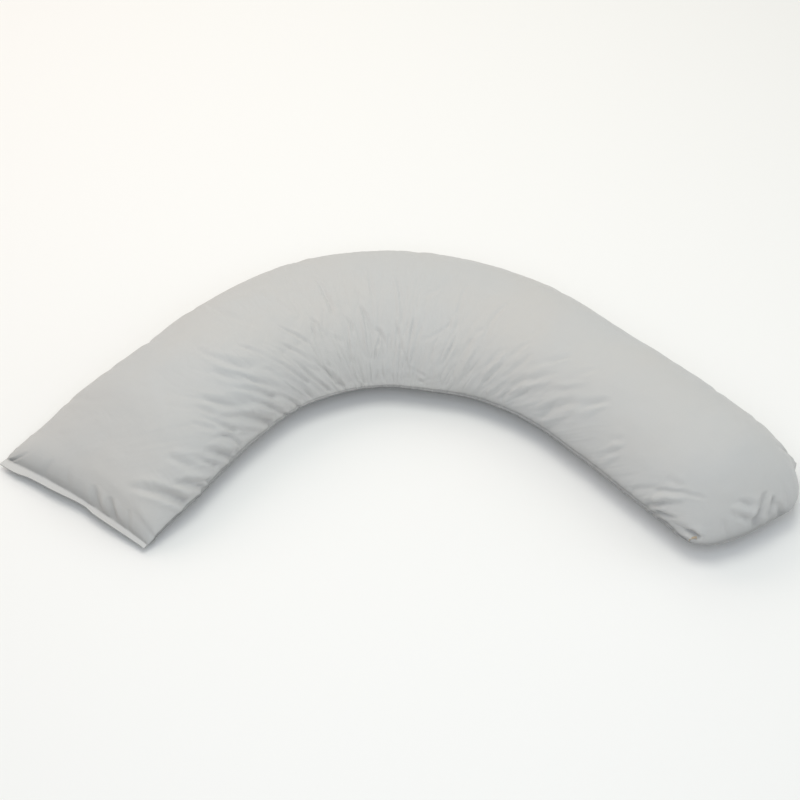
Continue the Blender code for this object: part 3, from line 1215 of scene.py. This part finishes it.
@dataclass
class Pillow:
    """The filled casing with its creases, seams and flange."""

    shape: CasingShape = field(default_factory=CasingShape)
    rows: int = 800
    strips: int = 140
    underside_step: int = 4  # strips of the face to each one of the underside
    seam_rows: tuple[float, ...] = (0.0018, 0.0042)  # extra rows beside each seam
    crumple_share: float = 0.5
    # Height, numbers of bumps along and across the pillow, and seed.
    lumps: tuple[tuple[float, tuple[int, int], int], ...] = (
        (0.0012, (26, 7), 11),
        (0.0005, (90, 22), 12),
    )
    seam_hold: float = 0.03  # lumps and ripples fade out this near to a side seam
    flange_hold: tuple[float, float] = (0.02, 0.03)  # where they start, and their fade's length
    end_hold: float = 0.02  # how far from the turned end they fade out
    crease_blur: tuple[float, float] = (4, 2)  # in rows and columns, as the next one
    swell_blur: tuple[float, float] = (12, 8)
    flange_wave: float = 0.0012
    flange_waves: int = 9
    flange_wave_seed: int = 5
    flange_wave_fade: tuple[float, float] = (0.004, 0.014)  # where it starts, and its length
    flange_corner_hold: float = 8.0
    underside_rise: float = 0.6  # the underside's share of the puckers
    full_crease: float = 0.003  # lift at which the finest crinkles are at their deepest
    # painted shade over all of the underside's colour
    underside_painted_shade: float = 0.3
    stitch_row_places: tuple[float, float] = (0.0020, 0.0128)
    stitch_row_step: float = 0.001  # to a second row of points, which the cloth is read by
    stitch_row_points: int = 160
    stitch_row_end: float = 1.49  # how far round the section the rows run, in radians
    stitch_lift: float = 0.0001
    wave_steps: int = 400  # at which the flange's waves are read for the stitches

    def across(self) -> Array:
        """Places across the pillow, with extra ones beside the seams.

        Returns:
            The places, from the inner seam to the outer one.
        """
        over = self.shape.over_cloth(self.shape.strips(self.strips))
        half = self.shape.cloth_width / 2
        beside = np.array(self.seam_rows)
        over = np.sort(np.concatenate([over, half - beside, beside - half]))
        return np.sin(over * math.pi / self.shape.cloth_width)

    def _settled(self, along: Array, across: Array) -> Array:
        """The crumple left by the simulation.

        Args:
            along: the stations wanted.
            across: the places across wanted.

        Returns:
            A vector for each station and place.
        """
        creases = CreaseField(self.shape, CREASES)
        return ClothSettling(self.shape, CutShape(), creases).displacement(along, across)

    def _relief(self, along: Array, across: Array) -> Array:
        """Height over the smooth cloth of the creases, lumps and ripples.

        Args:
            along: grid of places along the pillow.
            across: grid of places across it.

        Returns:
            A height for each place.
        """
        held = clamp(self.shape.to_seam(across) / self.seam_hold)
        start, length = self.flange_hold
        held = held * clamp((along - start) / length)
        held = held * clamp((self.shape.length - along) / self.end_hold)
        lumps = sum(h * soft_noise(along.shape, cells, seed) for h, cells, seed in self.lumps)
        heights = CreaseField(self.shape, CREASES + EDGE_CREASES).heights(along, across)
        ripples = FanRipples(self.shape).heights(along, across)
        heights = heights + lumps * held + ripples * held
        heights[-1] = 0
        return heights

    def _wave(self, count: int) -> Array:
        """The flange's waves, read at even steps over the columns."""
        noise = soft_noise((1, count), (1, self.flange_waves), self.flange_wave_seed)
        return self.flange_wave * noise[0]

    def _waving(self, along: ArrayLike, across: Array) -> Array:
        """How much the flange waves at a place."""
        start, length = self.flange_wave_fade
        return clamp(1 - (along - start) / length) * (1 - np.abs(across) ** self.flange_corner_hold)

    def points(self) -> tuple[Array, Array, Array, Array, Array, Array]:
        """The casing's points.

        Returns:
            Places along, places across, the face, the underside, how creased the face
            is and the painted shade and glow in its colour.
        """
        along, across = self.shape.stations(self.rows), self.across()
        grid = pairs(along, across)
        face, underside = self.shape.face(*grid), self.shape.underside(*grid)
        normals = grid_normals(face)
        heights = self._relief(*grid)
        settled = self._settled(along, across) * self.crumple_share
        face = face + normals * heights[..., None] + settled
        creased = blur(np.abs(heights) + np.linalg.norm(settled, axis=-1), self.crease_blur)
        depth = heights + np.sum(settled * normals, axis=-1)
        # painted shade and glow, which darken or lighten the cloth's colour
        tucked = PaintedShadeAndGlow(self.shape).lost(*grid, depth - blur(depth, self.swell_blur))
        outward, upward = SeamWork(self.shape).moves(*grid)
        heading = self.shape.heading(grid[0])
        sideways = np.stack([-np.sin(heading), np.cos(heading), np.zeros_like(heading)], axis=-1)
        move = sideways * (outward * np.sign(grid[1]))[..., None]
        wave = self._wave(len(across)) * self._waving(*grid)
        up = np.array([0.0, 0.0, 1.0])
        face = face + move + (upward + wave)[..., None] * up
        underside = underside + move + (upward * self.underside_rise + wave)[..., None] * up
        underside[:, [0, -1]] = face[:, [0, -1]]
        underside[-1] = face[-1]
        underside[..., 2] = np.maximum(underside[..., 2], 0)
        return along, across, face, underside, creased, tucked

    def _faces(self, top: Array, under: Array) -> list[tuple[int, ...]]:
        """The faces of the closed mesh, without doubled points.

        Args:
            top: vertex numbers of the face.
            under: vertex numbers of the underside, which share the rim's.

        Returns:
            The face's quads, the underside's faces and those of the flange's raw edge.
        """
        step = self.underside_step
        faces = grid_faces(top).tolist()
        faces += self._joined(grid_faces(under)[:, ::-1].tolist(), top)
        for k in range(under.shape[1] - 1):
            rim = top[0, step * k : step * (k + 1) + 1].tolist()
            faces.append([*rim, int(under[0, k + 1]), int(under[0, k])])
        return [tuple(dict.fromkeys(face)) for face in faces]

    def _joined(self, faces: list[list[int]], top: Array) -> list[list[int]]:
        """The underside's faces, with those at the turned end joined to each point of the face.

        Args:
            faces: the underside's quads.
            top: vertex numbers of the face.

        Returns:
            The faces, which may name a point twice.
        """
        first, last = int(top[-1, 0]), int(top[-1, -1])
        joined = []
        for quad in faces:
            points: list[int] = []
            for here, after in zip(quad, quad[1:] + quad[:1]):
                points.append(here)
                if first <= min(here, after) and max(here, after) <= last:
                    points.extend(range(here, after, 1 if after > here else -1))
            joined.append(points)
        return joined

    def build(self, finish: "CottonFinish") -> bpy.types.Object:
        """Build the casing as one closed mesh.

        Args:
            finish: the cloth's finish.

        Returns:
            The casing.
        """
        along, across, face, underside, creased, tucked = self.points()
        rows, columns = creased.shape
        top = np.arange(rows * columns).reshape(rows, columns)
        coarse = np.arange(0, columns, self.underside_step)
        inside = coarse[1:-1]
        under = np.full((rows, len(coarse)), -1)
        below = (rows - 1) * len(inside)
        under[:-1, 1:-1] = np.arange(below).reshape(rows - 1, -1) + rows * columns
        under[:, 0], under[:, -1] = top[:, 0], top[:, -1]
        under[-1] = top[-1, coarse]
        points = np.concatenate([face.reshape(-1, 3), underside[:-1, inside].reshape(-1, 3)])
        points -= self.shape.placed_shift()
        casing = add_mesh("pillow_casing", points, [], self._faces(top, under))
        mesh = casing.data
        mesh.polygons.foreach_set("use_smooth", [True] * len(mesh.polygons))
        over = self.shape.over_cloth(across)
        sides = (pairs(along, over), pairs(along[:-1], 1 - over[inside]))
        places = np.concatenate([np.stack(side, -1).reshape(-1, 2) for side in sides])
        strength = np.concatenate([creased.ravel() / self.full_crease, np.zeros(below)])
        # painted shade and glow of the face, and painted shade over all the underside
        lost = np.concatenate([tucked.ravel(), np.full(below, self.underside_painted_shade)])
        self._attributes(mesh, places, {"crumple": strength, "tucked": lost})
        self._sharpen_flange(mesh, set(top[0].tolist()) | set(under[0].tolist()))
        mesh.materials.append(finish.build())
        return casing

    def _attributes(self, mesh: bpy.types.Mesh, places: Array, shares: dict[str, Array]) -> None:
        """Store where each point lies on the cloth, and its other values.

        Args:
            mesh: the casing's mesh.
            places: places on the flat cloth, in metres.
            shares: a value for each point, at most 1, by the attribute's name.
        """
        corners = np.empty(len(mesh.loops), dtype=np.int32)
        mesh.loops.foreach_get("vertex_index", corners)
        layer = mesh.uv_layers.new(name="cloth")
        layer.data.foreach_set("uv", places[corners].astype(np.float32).ravel())
        for name, values in shares.items():
            attribute = mesh.attributes.new(name, "FLOAT", "POINT")
            attribute.data.foreach_set("value", np.clip(values, -1, 1).astype(np.float32))

    def _sharpen_flange(self, mesh: bpy.types.Mesh, rim: set[int]) -> None:
        """Keep the flange's cut edge crisp."""
        sharp = mesh.attributes.new("sharp_edge", "BOOLEAN", "EDGE")
        sharp.data.foreach_set("value", [rim.issuperset(edge.vertices) for edge in mesh.edges])

    def stitch_paths(self) -> list[Array]:
        """Lines over the flange that its rows of stitches follow.

        Returns:
            The points of each line.
        """
        end = self.stitch_row_end
        across = np.sin(np.linspace(-end, end, self.stitch_row_points))
        columns = self.across()
        column = np.interp(across, columns, np.linspace(0, 1, len(columns)))
        wave = self._wave(self.wave_steps)
        height = np.interp(column, np.linspace(0, 1, len(wave)), wave)
        shift = self.shape.placed_shift()
        paths = []
        for place in self.stitch_row_places:
            rows = [place, place + self.stitch_row_step]
            line = self.shape.face(*pairs(rows, across))[0]
            line[:, 2] += height * self._waving(place, across)
            line[:, 2] += self.stitch_lift
            paths.append(line - shift)
        return paths


@dataclass(frozen=True)
class Port:
    """One socket of a node group."""

    name: str
    kind: str = "NodeSocketFloat"
    value: float | None = None


PLACE = Port("Place", "NodeSocketVector")
HEIGHT = Port("Height")
SLUB_SCALES = (900.0, 14.0)  # for each metre, over a thick thread and along it
CRINKLE_SLOPE = 7.0  # how steeply the ridge of a crinkle falls
MIX_COLOURS = (6, 7)  # the two colour inputs of a Mix node
RANDOM_LIMITS = (2, 3)  # the two number limits of a Random Value node


@dataclass
class Wiring:
    """Short hand for adding and joining nodes in one tree."""

    tree: bpy.types.NodeTree

    def node(self, kind: str, **named: object) -> bpy.types.Node:
        """Add a node.

        Args:
            kind: the node's type.
            named: its settings, whose names start small, and the values or sockets for
                its inputs, whose names start with a capital and have _ for a space.

        Returns:
            The node.
        """
        node = self.tree.nodes.new(kind)
        for name, value in named.items():
            if name[0].islower():
                setattr(node, name, value)
        self.fill(node, **{name: value for name, value in named.items() if name[0].isupper()})
        return node

    def fill(self, node: bpy.types.Node, **inputs: object) -> None:
        """Give a node's inputs their values or sockets, by names with _ for a space."""
        for name, value in inputs.items():
            self.feed(node.inputs[name.replace("_", " ")], value)

    def feed(self, socket: bpy.types.NodeSocket, value: object) -> None:
        """Join a socket to another, or set it to a value.

        Args:
            socket: the socket.
            value: a socket or a value.
        """
        if isinstance(value, bpy.types.NodeSocket):
            self.tree.links.new(value, socket)
        else:
            socket.default_value = value

    def math(self, operation: str, *values: object) -> bpy.types.NodeSocket:
        """Add a Math node and return its result.

        Args:
            operation: what it works out.
            values: a socket or a value for each of its inputs.

        Returns:
            Its result.
        """
        node = self.node("ShaderNodeMath", operation=operation)
        for socket, value in zip(node.inputs, values):
            self.feed(socket, value)
        return node.outputs[0]

    def noise(self, **inputs: object) -> bpy.types.NodeSocket:
        """Add a Noise Texture node and return its value."""
        return self.node("ShaderNodeTexNoise", **inputs).outputs["Fac"]

    def group(self, group: bpy.types.NodeTree, **inputs: object) -> bpy.types.NodeOutputs:
        """Place a node group with its own values, and return its outputs."""
        return self.node("ShaderNodeGroup", node_tree=group, **inputs).outputs


class NewGroup(Wiring):
    """The wiring of a new shader node group."""

    def __init__(self, name: str, inputs: tuple[Port, ...], outputs: tuple[Port, ...]) -> None:
        """Start the group.

        Args:
            name: its name.
            inputs: its input sockets.
            outputs: its output sockets.
        """
        super().__init__(bpy.data.node_groups.new(name, "ShaderNodeTree"))
        for ports, direction in ((inputs, "INPUT"), (outputs, "OUTPUT")):
            for port in ports:
                face = self.tree.interface
                socket = face.new_socket(port.name, in_out=direction, socket_type=port.kind)
                if port.value is not None:
                    socket.default_value = port.value
        self.start = self.node("NodeGroupInput").outputs
        self.end = self.node("NodeGroupOutput")


class NewMaterial(Wiring):
    """The wiring of a new material around its Principled BSDF."""

    def __init__(self, name: str) -> None:
        """Start the material.

        Args:
            name: its name.
        """
        self.material = bpy.data.materials.new(name)
        self.material.use_nodes = True
        super().__init__(self.material.node_tree)
        self.shader = self.tree.nodes["Principled BSDF"]


class ClothEffects:
    """The effects that the cloth and its threads share, each a shader node group."""

    def __init__(self) -> None:
        """Build the groups."""
        self.weave = self._weave()
        self.crinkle = self._crinkle()
        self.tone = self._tone()

    def _weave(self) -> bpy.types.NodeTree:
        """Plain weave: threads that pass over and under each other, some thicker.

        Returns:
            The group.
        """
        wire = NewGroup(
            "plain_weave",
            (PLACE, Port("Threads per Metre", value=2200.0), Port("Slub", value=0.4)),
            (HEIGHT, Port("Slubs")),
        )
        start = wire.start
        split = wire.node("ShaderNodeSeparateXYZ", Vector=start["Place"])
        turn = wire.math("MULTIPLY", start["Threads per Metre"], math.pi)
        threads = [
            wire.math("SINE", wire.math("MULTIPLY", split.outputs[axis], turn)) for axis in "XY"
        ]
        woven = wire.math("MULTIPLY_ADD", wire.math("MULTIPLY", *threads), 0.5, 0.5)
        slubs = []
        for stretch in (SLUB_SCALES, SLUB_SCALES[::-1]):
            scale = (*stretch, 0.0)
            mapping = wire.node("ShaderNodeMapping", Vector=start["Place"], Scale=scale)
            slubs.append(wire.noise(Vector=mapping.outputs[0], Scale=1.0, Detail=1.0))
        thick = wire.math("MULTIPLY", wire.math("ADD", *slubs), 0.5)
        height = wire.math("MULTIPLY_ADD", thick, start["Slub"], woven)
        wire.fill(wire.end, Height=height, Slubs=thick)
        return wire.tree

    def _crinkle(self) -> bpy.types.NodeTree:
        """Fine sharp crinkles, which run across the pillow where the cloth is creased.

        Returns:
            The group.
        """
        wire = NewGroup(
            "fine_crinkle",
            (
                PLACE,
                Port("Crinkles per Metre", value=42.0),
                Port("Length Ratio", value=0.45),
                Port("Crumple"),
                Port("Smooth Share", value=0.0),
            ),
            (HEIGHT,),
        )
        start = wire.start
        split = wire.node("ShaderNodeSeparateXYZ", Vector=start["Place"])
        across = wire.math("MULTIPLY", split.outputs["Y"], start["Length Ratio"])
        place = wire.node("ShaderNodeCombineXYZ", X=split.outputs["X"], Y=across)
        warp = wire.noise(
            Vector=place.outputs[0],
            Scale=start["Crinkles per Metre"],
            Detail=3.0,
            Roughness=0.5,
            Distortion=0.6,
        )
        away = wire.math("ABSOLUTE", wire.math("SUBTRACT", warp, 0.5))
        slope = wire.math("MINIMUM", wire.math("MULTIPLY", away, CRINKLE_SLOPE), 1.0)
        ridge = wire.math("SUBTRACT", 1.0, slope)
        share = wire.math("MAXIMUM", start["Crumple"], start["Smooth Share"])
        wire.fill(wire.end, Height=wire.math("MULTIPLY", ridge, share))
        return wire.tree

    def _tone(self) -> bpy.types.NodeTree:
        """Cloth colour that drifts between a warm and a cool shade, with painted shade and glow.

        Returns:
            The group.
        """
        wire = NewGroup(
            "drifting_tone",
            (
                PLACE,
                Port("Warm", "NodeSocketColor"),
                Port("Cool", "NodeSocketColor"),
                Port("Drifts per Metre", value=5.0),
                Port("Thread Shade"),
                Port("Shade Amount", value=0.06),
                # painted shade, or painted glow below 0, as a share of the colour
                Port("Tucked", value=0.0),
            ),
            (Port("Color", "NodeSocketColor"),),
        )
        start = wire.start
        drift = wire.noise(Vector=start["Place"], Scale=start["Drifts per Metre"], Detail=3.0)
        spread = wire.node("ShaderNodeMapRange", Value=drift, From_Min=0.35, From_Max=0.65)
        mixed = wire.node("ShaderNodeMix", data_type="RGBA", Factor=spread.outputs["Result"])
        for number, colour in zip(MIX_COLOURS, ("Warm", "Cool")):
            wire.feed(mixed.inputs[number], start[colour])
        off = wire.math("SUBTRACT", start["Thread Shade"], 0.5)
        shade = wire.math("MULTIPLY", off, start["Shade Amount"])
        # painted shade darkens the colour, and painted glow lightens it
        kept = wire.math("SUBTRACT", 1.0, start["Tucked"])
        value = wire.math("MULTIPLY", wire.math("ADD", shade, 1.0), kept)
        shaded = wire.node("ShaderNodeHueSaturation", Color=mixed.outputs[2], Value=value)
        wire.fill(wire.end, Color=shaded.outputs["Color"])
        return wire.tree


@dataclass(frozen=True)
class CottonFinish:
    """Smooth, closely woven pale grey cotton."""

    effects: ClothEffects
    warm: Colour = (0.534, 0.529, 0.522, 1)
    cool: Colour = (0.522, 0.527, 0.530, 1)
    roughness: float = 0.82
    roughness_drift: float = 0.10
    drifts_per_metre: float = 9.0
    sheen: float = 0.25
    sheen_roughness: float = 0.45
    specular: float = 0.28
    threads_per_metre: float = 2200.0
    weave_depth: float = 0.00010
    crinkle_depth: float = 0.0005
    crinkle_strength: float = 0.5

    def build(self) -> bpy.types.Material:
        """Build the material.

        Returns:
            The material.
        """
        wire = NewMaterial(COTTON_SLOT)
        place = wire.node("ShaderNodeUVMap", uv_map="cloth").outputs["UV"]
        solid = wire.node("ShaderNodeTexCoord").outputs["Object"]
        # the second attribute holds the painted shade and glow of the cloth's colour
        crumple, tucked = (
            wire.node("ShaderNodeAttribute", attribute_name=name).outputs["Fac"]
            for name in ("crumple", "tucked")
        )
        effects = self.effects
        weave = wire.group(effects.weave, Place=place, Threads_per_Metre=self.threads_per_metre)
        crinkle = wire.group(effects.crinkle, Place=place, Crumple=crumple)
        shades = {"Place": solid, "Warm": self.warm, "Cool": self.cool}
        tone = wire.group(effects.tone, **shades, Thread_Shade=weave["Slubs"], Tucked=tucked)
        rough = wire.noise(Vector=solid, Scale=self.drifts_per_metre, Detail=2.0)
        drift = wire.math("MULTIPLY", wire.math("SUBTRACT", rough, 0.5), self.roughness_drift)
        fine = wire.node("ShaderNodeBump", Height=weave["Height"], Distance=self.weave_depth)
        broad = wire.node(
            "ShaderNodeBump",
            Height=crinkle["Height"],
            Distance=self.crinkle_depth,
            Strength=self.crinkle_strength,
            Normal=fine.outputs["Normal"],
        )
        wire.fill(
            wire.shader,
            Base_Color=tone["Color"],
            Roughness=wire.math("ADD", drift, self.roughness),
            Specular_IOR_Level=self.specular,
            Sheen_Weight=self.sheen,
            Sheen_Roughness=self.sheen_roughness,
            Normal=broad.outputs["Normal"],
        )
        return wire.material


@dataclass(frozen=True)
class ThreadFinish:
    """Spun sewing thread, twisted along its stitches."""

    effects: ClothEffects
    name: str
    warm: Colour
    cool: Colour
    roughness: float = 0.55
    sheen: float = 0.35
    twist_angle: float = math.radians(54)
    twist_per_metre: float = 1400.0
    twist_depth: float = 0.00006
    slub: float = 0.2
    drifts_per_metre: float = 60.0
    # painted shade and highlight: the twist's grooves are painted darker and its ridges lighter
    twist_painted_shade: float = 0.12

    def build(self) -> bpy.types.Material:
        """Build the material.

        Returns:
            The material.
        """
        wire = NewMaterial(self.name)
        solid = wire.node("ShaderNodeTexCoord").outputs["Object"]
        angles = (0.0, 0.0, self.twist_angle)
        turned = wire.node("ShaderNodeMapping", Vector=solid, Rotation=angles)
        spun = {"Threads_per_Metre": self.twist_per_metre, "Slub": self.slub}
        twist = wire.group(self.effects.weave, Place=turned.outputs[0], **spun)
        shades = {"Place": solid, "Warm": self.warm, "Cool": self.cool}
        # the twist's relief is painted into the colour as shade and highlight
        tone = wire.group(
            self.effects.tone,
            **shades,
            Drifts_per_Metre=self.drifts_per_metre,
            Thread_Shade=twist["Height"],
            Shade_Amount=self.twist_painted_shade,
        )
        bump = wire.node("ShaderNodeBump", Height=twist["Height"], Distance=self.twist_depth)
        wire.fill(
            wire.shader,
            Base_Color=tone["Color"],
            Roughness=self.roughness,
            Sheen_Weight=self.sheen,
            Normal=bump.outputs["Normal"],
        )
        return wire.material


# The sizes that the stitches' tree takes, by the names of their sockets.
STITCH_SIZES = ("Pitch", "Stitch Length", "Thread Radius", "Wander", "Turn")


@dataclass
class Stitching:
    """Rows of stitches laid along lines by a Geometry Nodes tree."""

    name: str
    paths: list[Array]
    finish: ThreadFinish
    pitch: float = 0.0034
    stitch_length: float = 0.0027
    thread_radius: float = 0.00028
    wander: float = 0.12
    turn: float = 0.0
    seed: int = 3

    def _tree(self) -> bpy.types.NodeTree:
        """The tree: a stitch on each even step of the lines, turned along them.

        Returns:
            The tree.
        """
        tree = bpy.data.node_groups.new(f"{self.name}_rows", "GeometryNodeTree")
        face = tree.interface
        for direction in ("INPUT", "OUTPUT"):
            face.new_socket("Geometry", in_out=direction, socket_type="NodeSocketGeometry")
        kinds = dict.fromkeys(STITCH_SIZES, "Float") | {"Seed": "Int", "Thread": "Material"}
        for name, kind in kinds.items():
            face.new_socket(name, in_out="INPUT", socket_type=f"NodeSocket{kind}")
        wire = Wiring(tree)
        start = wire.node("NodeGroupInput").outputs
        line = wire.node("GeometryNodeMeshToCurve", Mesh=start["Geometry"])
        steps = wire.node(
            "GeometryNodeResampleCurve", mode="LENGTH", Curve=line.outputs[0], Length=start["Pitch"]
        )
        ball = wire.node("GeometryNodeMeshUVSphere", Segments=8, Rings=5, Radius=1.0)
        half = wire.math("MULTIPLY", start["Stitch Length"], 0.5)
        radius = start["Thread Radius"]
        size = wire.node("ShaderNodeCombineXYZ", X=half, Y=radius, Z=radius)
        stitch = wire.node(
            "GeometryNodeTransform", Geometry=ball.outputs["Mesh"], Scale=size.outputs[0]
        )
        smooth = wire.node("GeometryNodeSetShadeSmooth", Geometry=stitch.outputs[0])
        tangent = wire.node("GeometryNodeInputTangent")
        along = wire.node(
            "FunctionNodeAlignRotationToVector", axis="X", Vector=tangent.outputs[0]
        )
        stray = wire.node("FunctionNodeRandomValue", data_type="FLOAT", Seed=start["Seed"])
        lowest = wire.math("MULTIPLY", start["Wander"], -1.0)
        for number, limit in zip(RANDOM_LIMITS, (lowest, start["Wander"])):
            wire.feed(stray.inputs[number], limit)
        angle = wire.math("ADD", stray.outputs[1], start["Turn"])
        turned = wire.node(
            "FunctionNodeRotateRotation",
            rotation_space="LOCAL",
            Rotation=along.outputs[0],
            Rotate_By=wire.node("ShaderNodeCombineXYZ", Z=angle).outputs[0],
        )
        placed = wire.node(
            "GeometryNodeInstanceOnPoints",
            Points=steps.outputs[0],
            Instance=smooth.outputs[0],
            Rotation=turned.outputs[0],
        )
        real = wire.node("GeometryNodeRealizeInstances", Geometry=placed.outputs[0])
        dressed = wire.node(
            "GeometryNodeSetMaterial", Geometry=real.outputs[0], Material=start["Thread"]
        )
        wire.node("NodeGroupOutput", Geometry=dressed.outputs[0])
        return tree

    def build(self) -> bpy.types.Object:
        """Lay the stitches.

        Returns:
            The stitches as one plain mesh.
        """
        counts = [len(path) for path in self.paths]
        starts = np.cumsum([0] + counts)
        edges = [(k, k + 1) for s, n in zip(starts, counts) for k in range(s, s + n - 1)]
        holder = add_mesh(f"{self.name}_lines", np.concatenate(self.paths), edges, [])
        tree = self._tree()
        modifier = holder.modifiers.new("rows", "NODES")
        modifier.node_group = tree
        values = {name: getattr(self, name.lower().replace(" ", "_")) for name in STITCH_SIZES}
        values |= {"Seed": self.seed, "Thread": self.finish.build()}
        for item in tree.interface.items_tree:
            if item.name in values:
                modifier[item.identifier] = values[item.name]
        evaluated = holder.evaluated_get(bpy.context.evaluated_depsgraph_get())
        mesh = bpy.data.meshes.new_from_object(evaluated)
        mesh.name = self.name
        discard(holder)
        return add_object(self.name, mesh)


@dataclass(frozen=True)
class Lamp:
    """A soft square lamp that faces the pillow."""

    name: str
    place: tuple[float, float, float]
    size: float
    power: float
    colour: tuple[float, float, float]


@dataclass
class Studio:
    """Plain pale floor, soft light and the camera."""

    elevation: float = 47.0
    distance: float = 4.0
    target: tuple[float, float, float] = (0.0, 0.0, 0.07)
    lens: float = 87.32
    sensor: float = 36.0
    shift: tuple[float, float] = (4.14 / IMAGE_SIDE, -13.13 / IMAGE_SIDE)
    floor_size: float = 14.0
    floor_gap: float = 0.0004
    floor_colour: Colour = (0.87, 0.87, 0.87, 1)
    floor_roughness: float = 0.9
    floor_specular: float = 0.1
    sky: Colour = (1.016, 1.0, 0.939, 1)
    sky_strength: float = 0.50
    lamps: tuple[Lamp, ...] = (
        Lamp("back_lamp", (0.0, 2.7, 2.4), 2.0, 17.5, (1.0, 1.0, 0.90)),
        Lamp("back_left_lamp", (-2.3, 1.7, 2.4), 2.0, 22.5, (1.0, 0.80, 0.74)),
        Lamp("top_lamp", (0.0, 0.1, 3.6), 2.0, 41.5, (0.98, 1.0, 0.94)),
        Lamp("front_lamp", (0.0, -2.2, 2.9), 2.0, 28.6, (0.747, 0.853, 1.0)),
        Lamp("right_lamp", (3.4, 0.0, 1.2), 2.0, 13.0, (0.762, 0.883, 1.0)),
    )

    def _floor(self) -> bpy.types.Object:
        """The floor, a little under the pillow.

        Returns:
            The floor.
        """
        half = self.floor_size / 2
        sides = ((-1, -1), (1, -1), (1, 1), (-1, 1))
        corners = [(x * half, y * half, -self.floor_gap) for x, y in sides]
        floor = add_mesh("floor", corners, [], [(0, 1, 2, 3)])
        wire = NewMaterial("pale_floor")
        wire.fill(
            wire.shader,
            Base_Color=self.floor_colour,
            Roughness=self.floor_roughness,
            Specular_IOR_Level=self.floor_specular,
        )
        floor.data.materials.append(wire.material)
        return floor

    def _aim(self, thing: bpy.types.Object, facing: Vector) -> None:
        """Turn a lamp or the camera to face a way."""
        thing.rotation_euler = facing.to_track_quat("-Z", "Y").to_euler()

    def _camera(self) -> None:
        """The camera, in front of the pillow's open side and above it."""
        lens = bpy.data.cameras.new("camera")
        lens.lens = self.lens
        lens.sensor_width = self.sensor
        lens.shift_x, lens.shift_y = self.shift
        camera = add_object("camera", lens)
        angle = math.radians(self.elevation)
        back = Vector((0.0, -math.cos(angle), math.sin(angle)))
        camera.location = Vector(self.target) + back * self.distance
        self._aim(camera, -back)
        bpy.context.scene.camera = camera

    def _light(self, lamp: Lamp) -> None:
        """Hang one lamp.

        Args:
            lamp: the lamp.
        """
        data = bpy.data.lights.new(lamp.name, "AREA")
        data.size = lamp.size
        data.energy = lamp.power
        data.color = lamp.colour
        light = add_object(lamp.name, data)
        light.location = lamp.place
        self._aim(light, Vector(self.target) - Vector(lamp.place))

    def build(self) -> bpy.types.Object:
        """Set up the studio.

        Returns:
            The floor.
        """
        scene = bpy.context.scene
        world = bpy.data.worlds.new("studio")
        world.use_nodes = True
        wire = Wiring(world.node_tree)
        wire.fill(wire.tree.nodes["Background"], Color=self.sky, Strength=self.sky_strength)
        scene.world = world
        scene.view_settings.view_transform = "Standard"
        for lamp in self.lamps:
            self._light(lamp)
        self._camera()
        return self._floor()


@dataclass
class SeamEndTack:
    """The tack that closes the inner seam at the turned end."""

    shape: CasingShape
    finish: ThreadFinish
    rows: tuple[float, float] = (0.0085, 0.0080)  # its own from the end, and the next one
    ends: tuple[float, float] = (-0.975, -0.915)  # across the pillow
    points: int = 12
    lift: float = 0.0011
    pitch: float = 0.0010
    stitch_length: float = 0.0062
    thread_radius: float = 0.0006

    def build(self) -> bpy.types.Object:
        """Lay the tack's stitches side by side across its line.

        Returns:
            The stitches as one plain mesh.
        """
        along = self.shape.length - np.array(self.rows)
        face = self.shape.face(*pairs(along, np.linspace(*self.ends, self.points)))
        line = face[0] + grid_normals(face)[0] * self.lift - self.shape.placed_shift()
        return Stitching(
            "seam_end_tack",
            [line],
            self.finish,
            pitch=self.pitch,
            stitch_length=self.stitch_length,
            thread_radius=self.thread_radius,
            turn=math.radians(90),
        ).build()


def place(piece: bpy.types.Object) -> None:
    """Let a piece ride on the pillow's body, and report it.

    Args:
        piece: the piece.
    """
    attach(piece, BODY)
    LOG.info("%s: %d faces", piece.name, len(piece.data.polygons))


def main() -> None:
    """Build the pillow, its stitches and the studio."""
    logging.basicConfig(level=logging.INFO, format="%(name)s: %(message)s")
    effects = ClothEffects()
    pillow = Pillow()
    casing = pillow.build(CottonFinish(effects))
    place(casing)
    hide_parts(NODE)
    white = ThreadFinish(effects, "white_thread", (0.72, 0.71, 0.69, 1), (0.66, 0.66, 0.65, 1))
    place(Stitching("flange_stitches", pillow.stitch_paths(), white).build())
    beige = ThreadFinish(effects, "beige_thread", (0.47, 0.38, 0.27, 1), (0.41, 0.33, 0.24, 1))
    place(SeamEndTack(pillow.shape, beige).build())
    Studio().build()


if __name__ == "__main__":
    main()
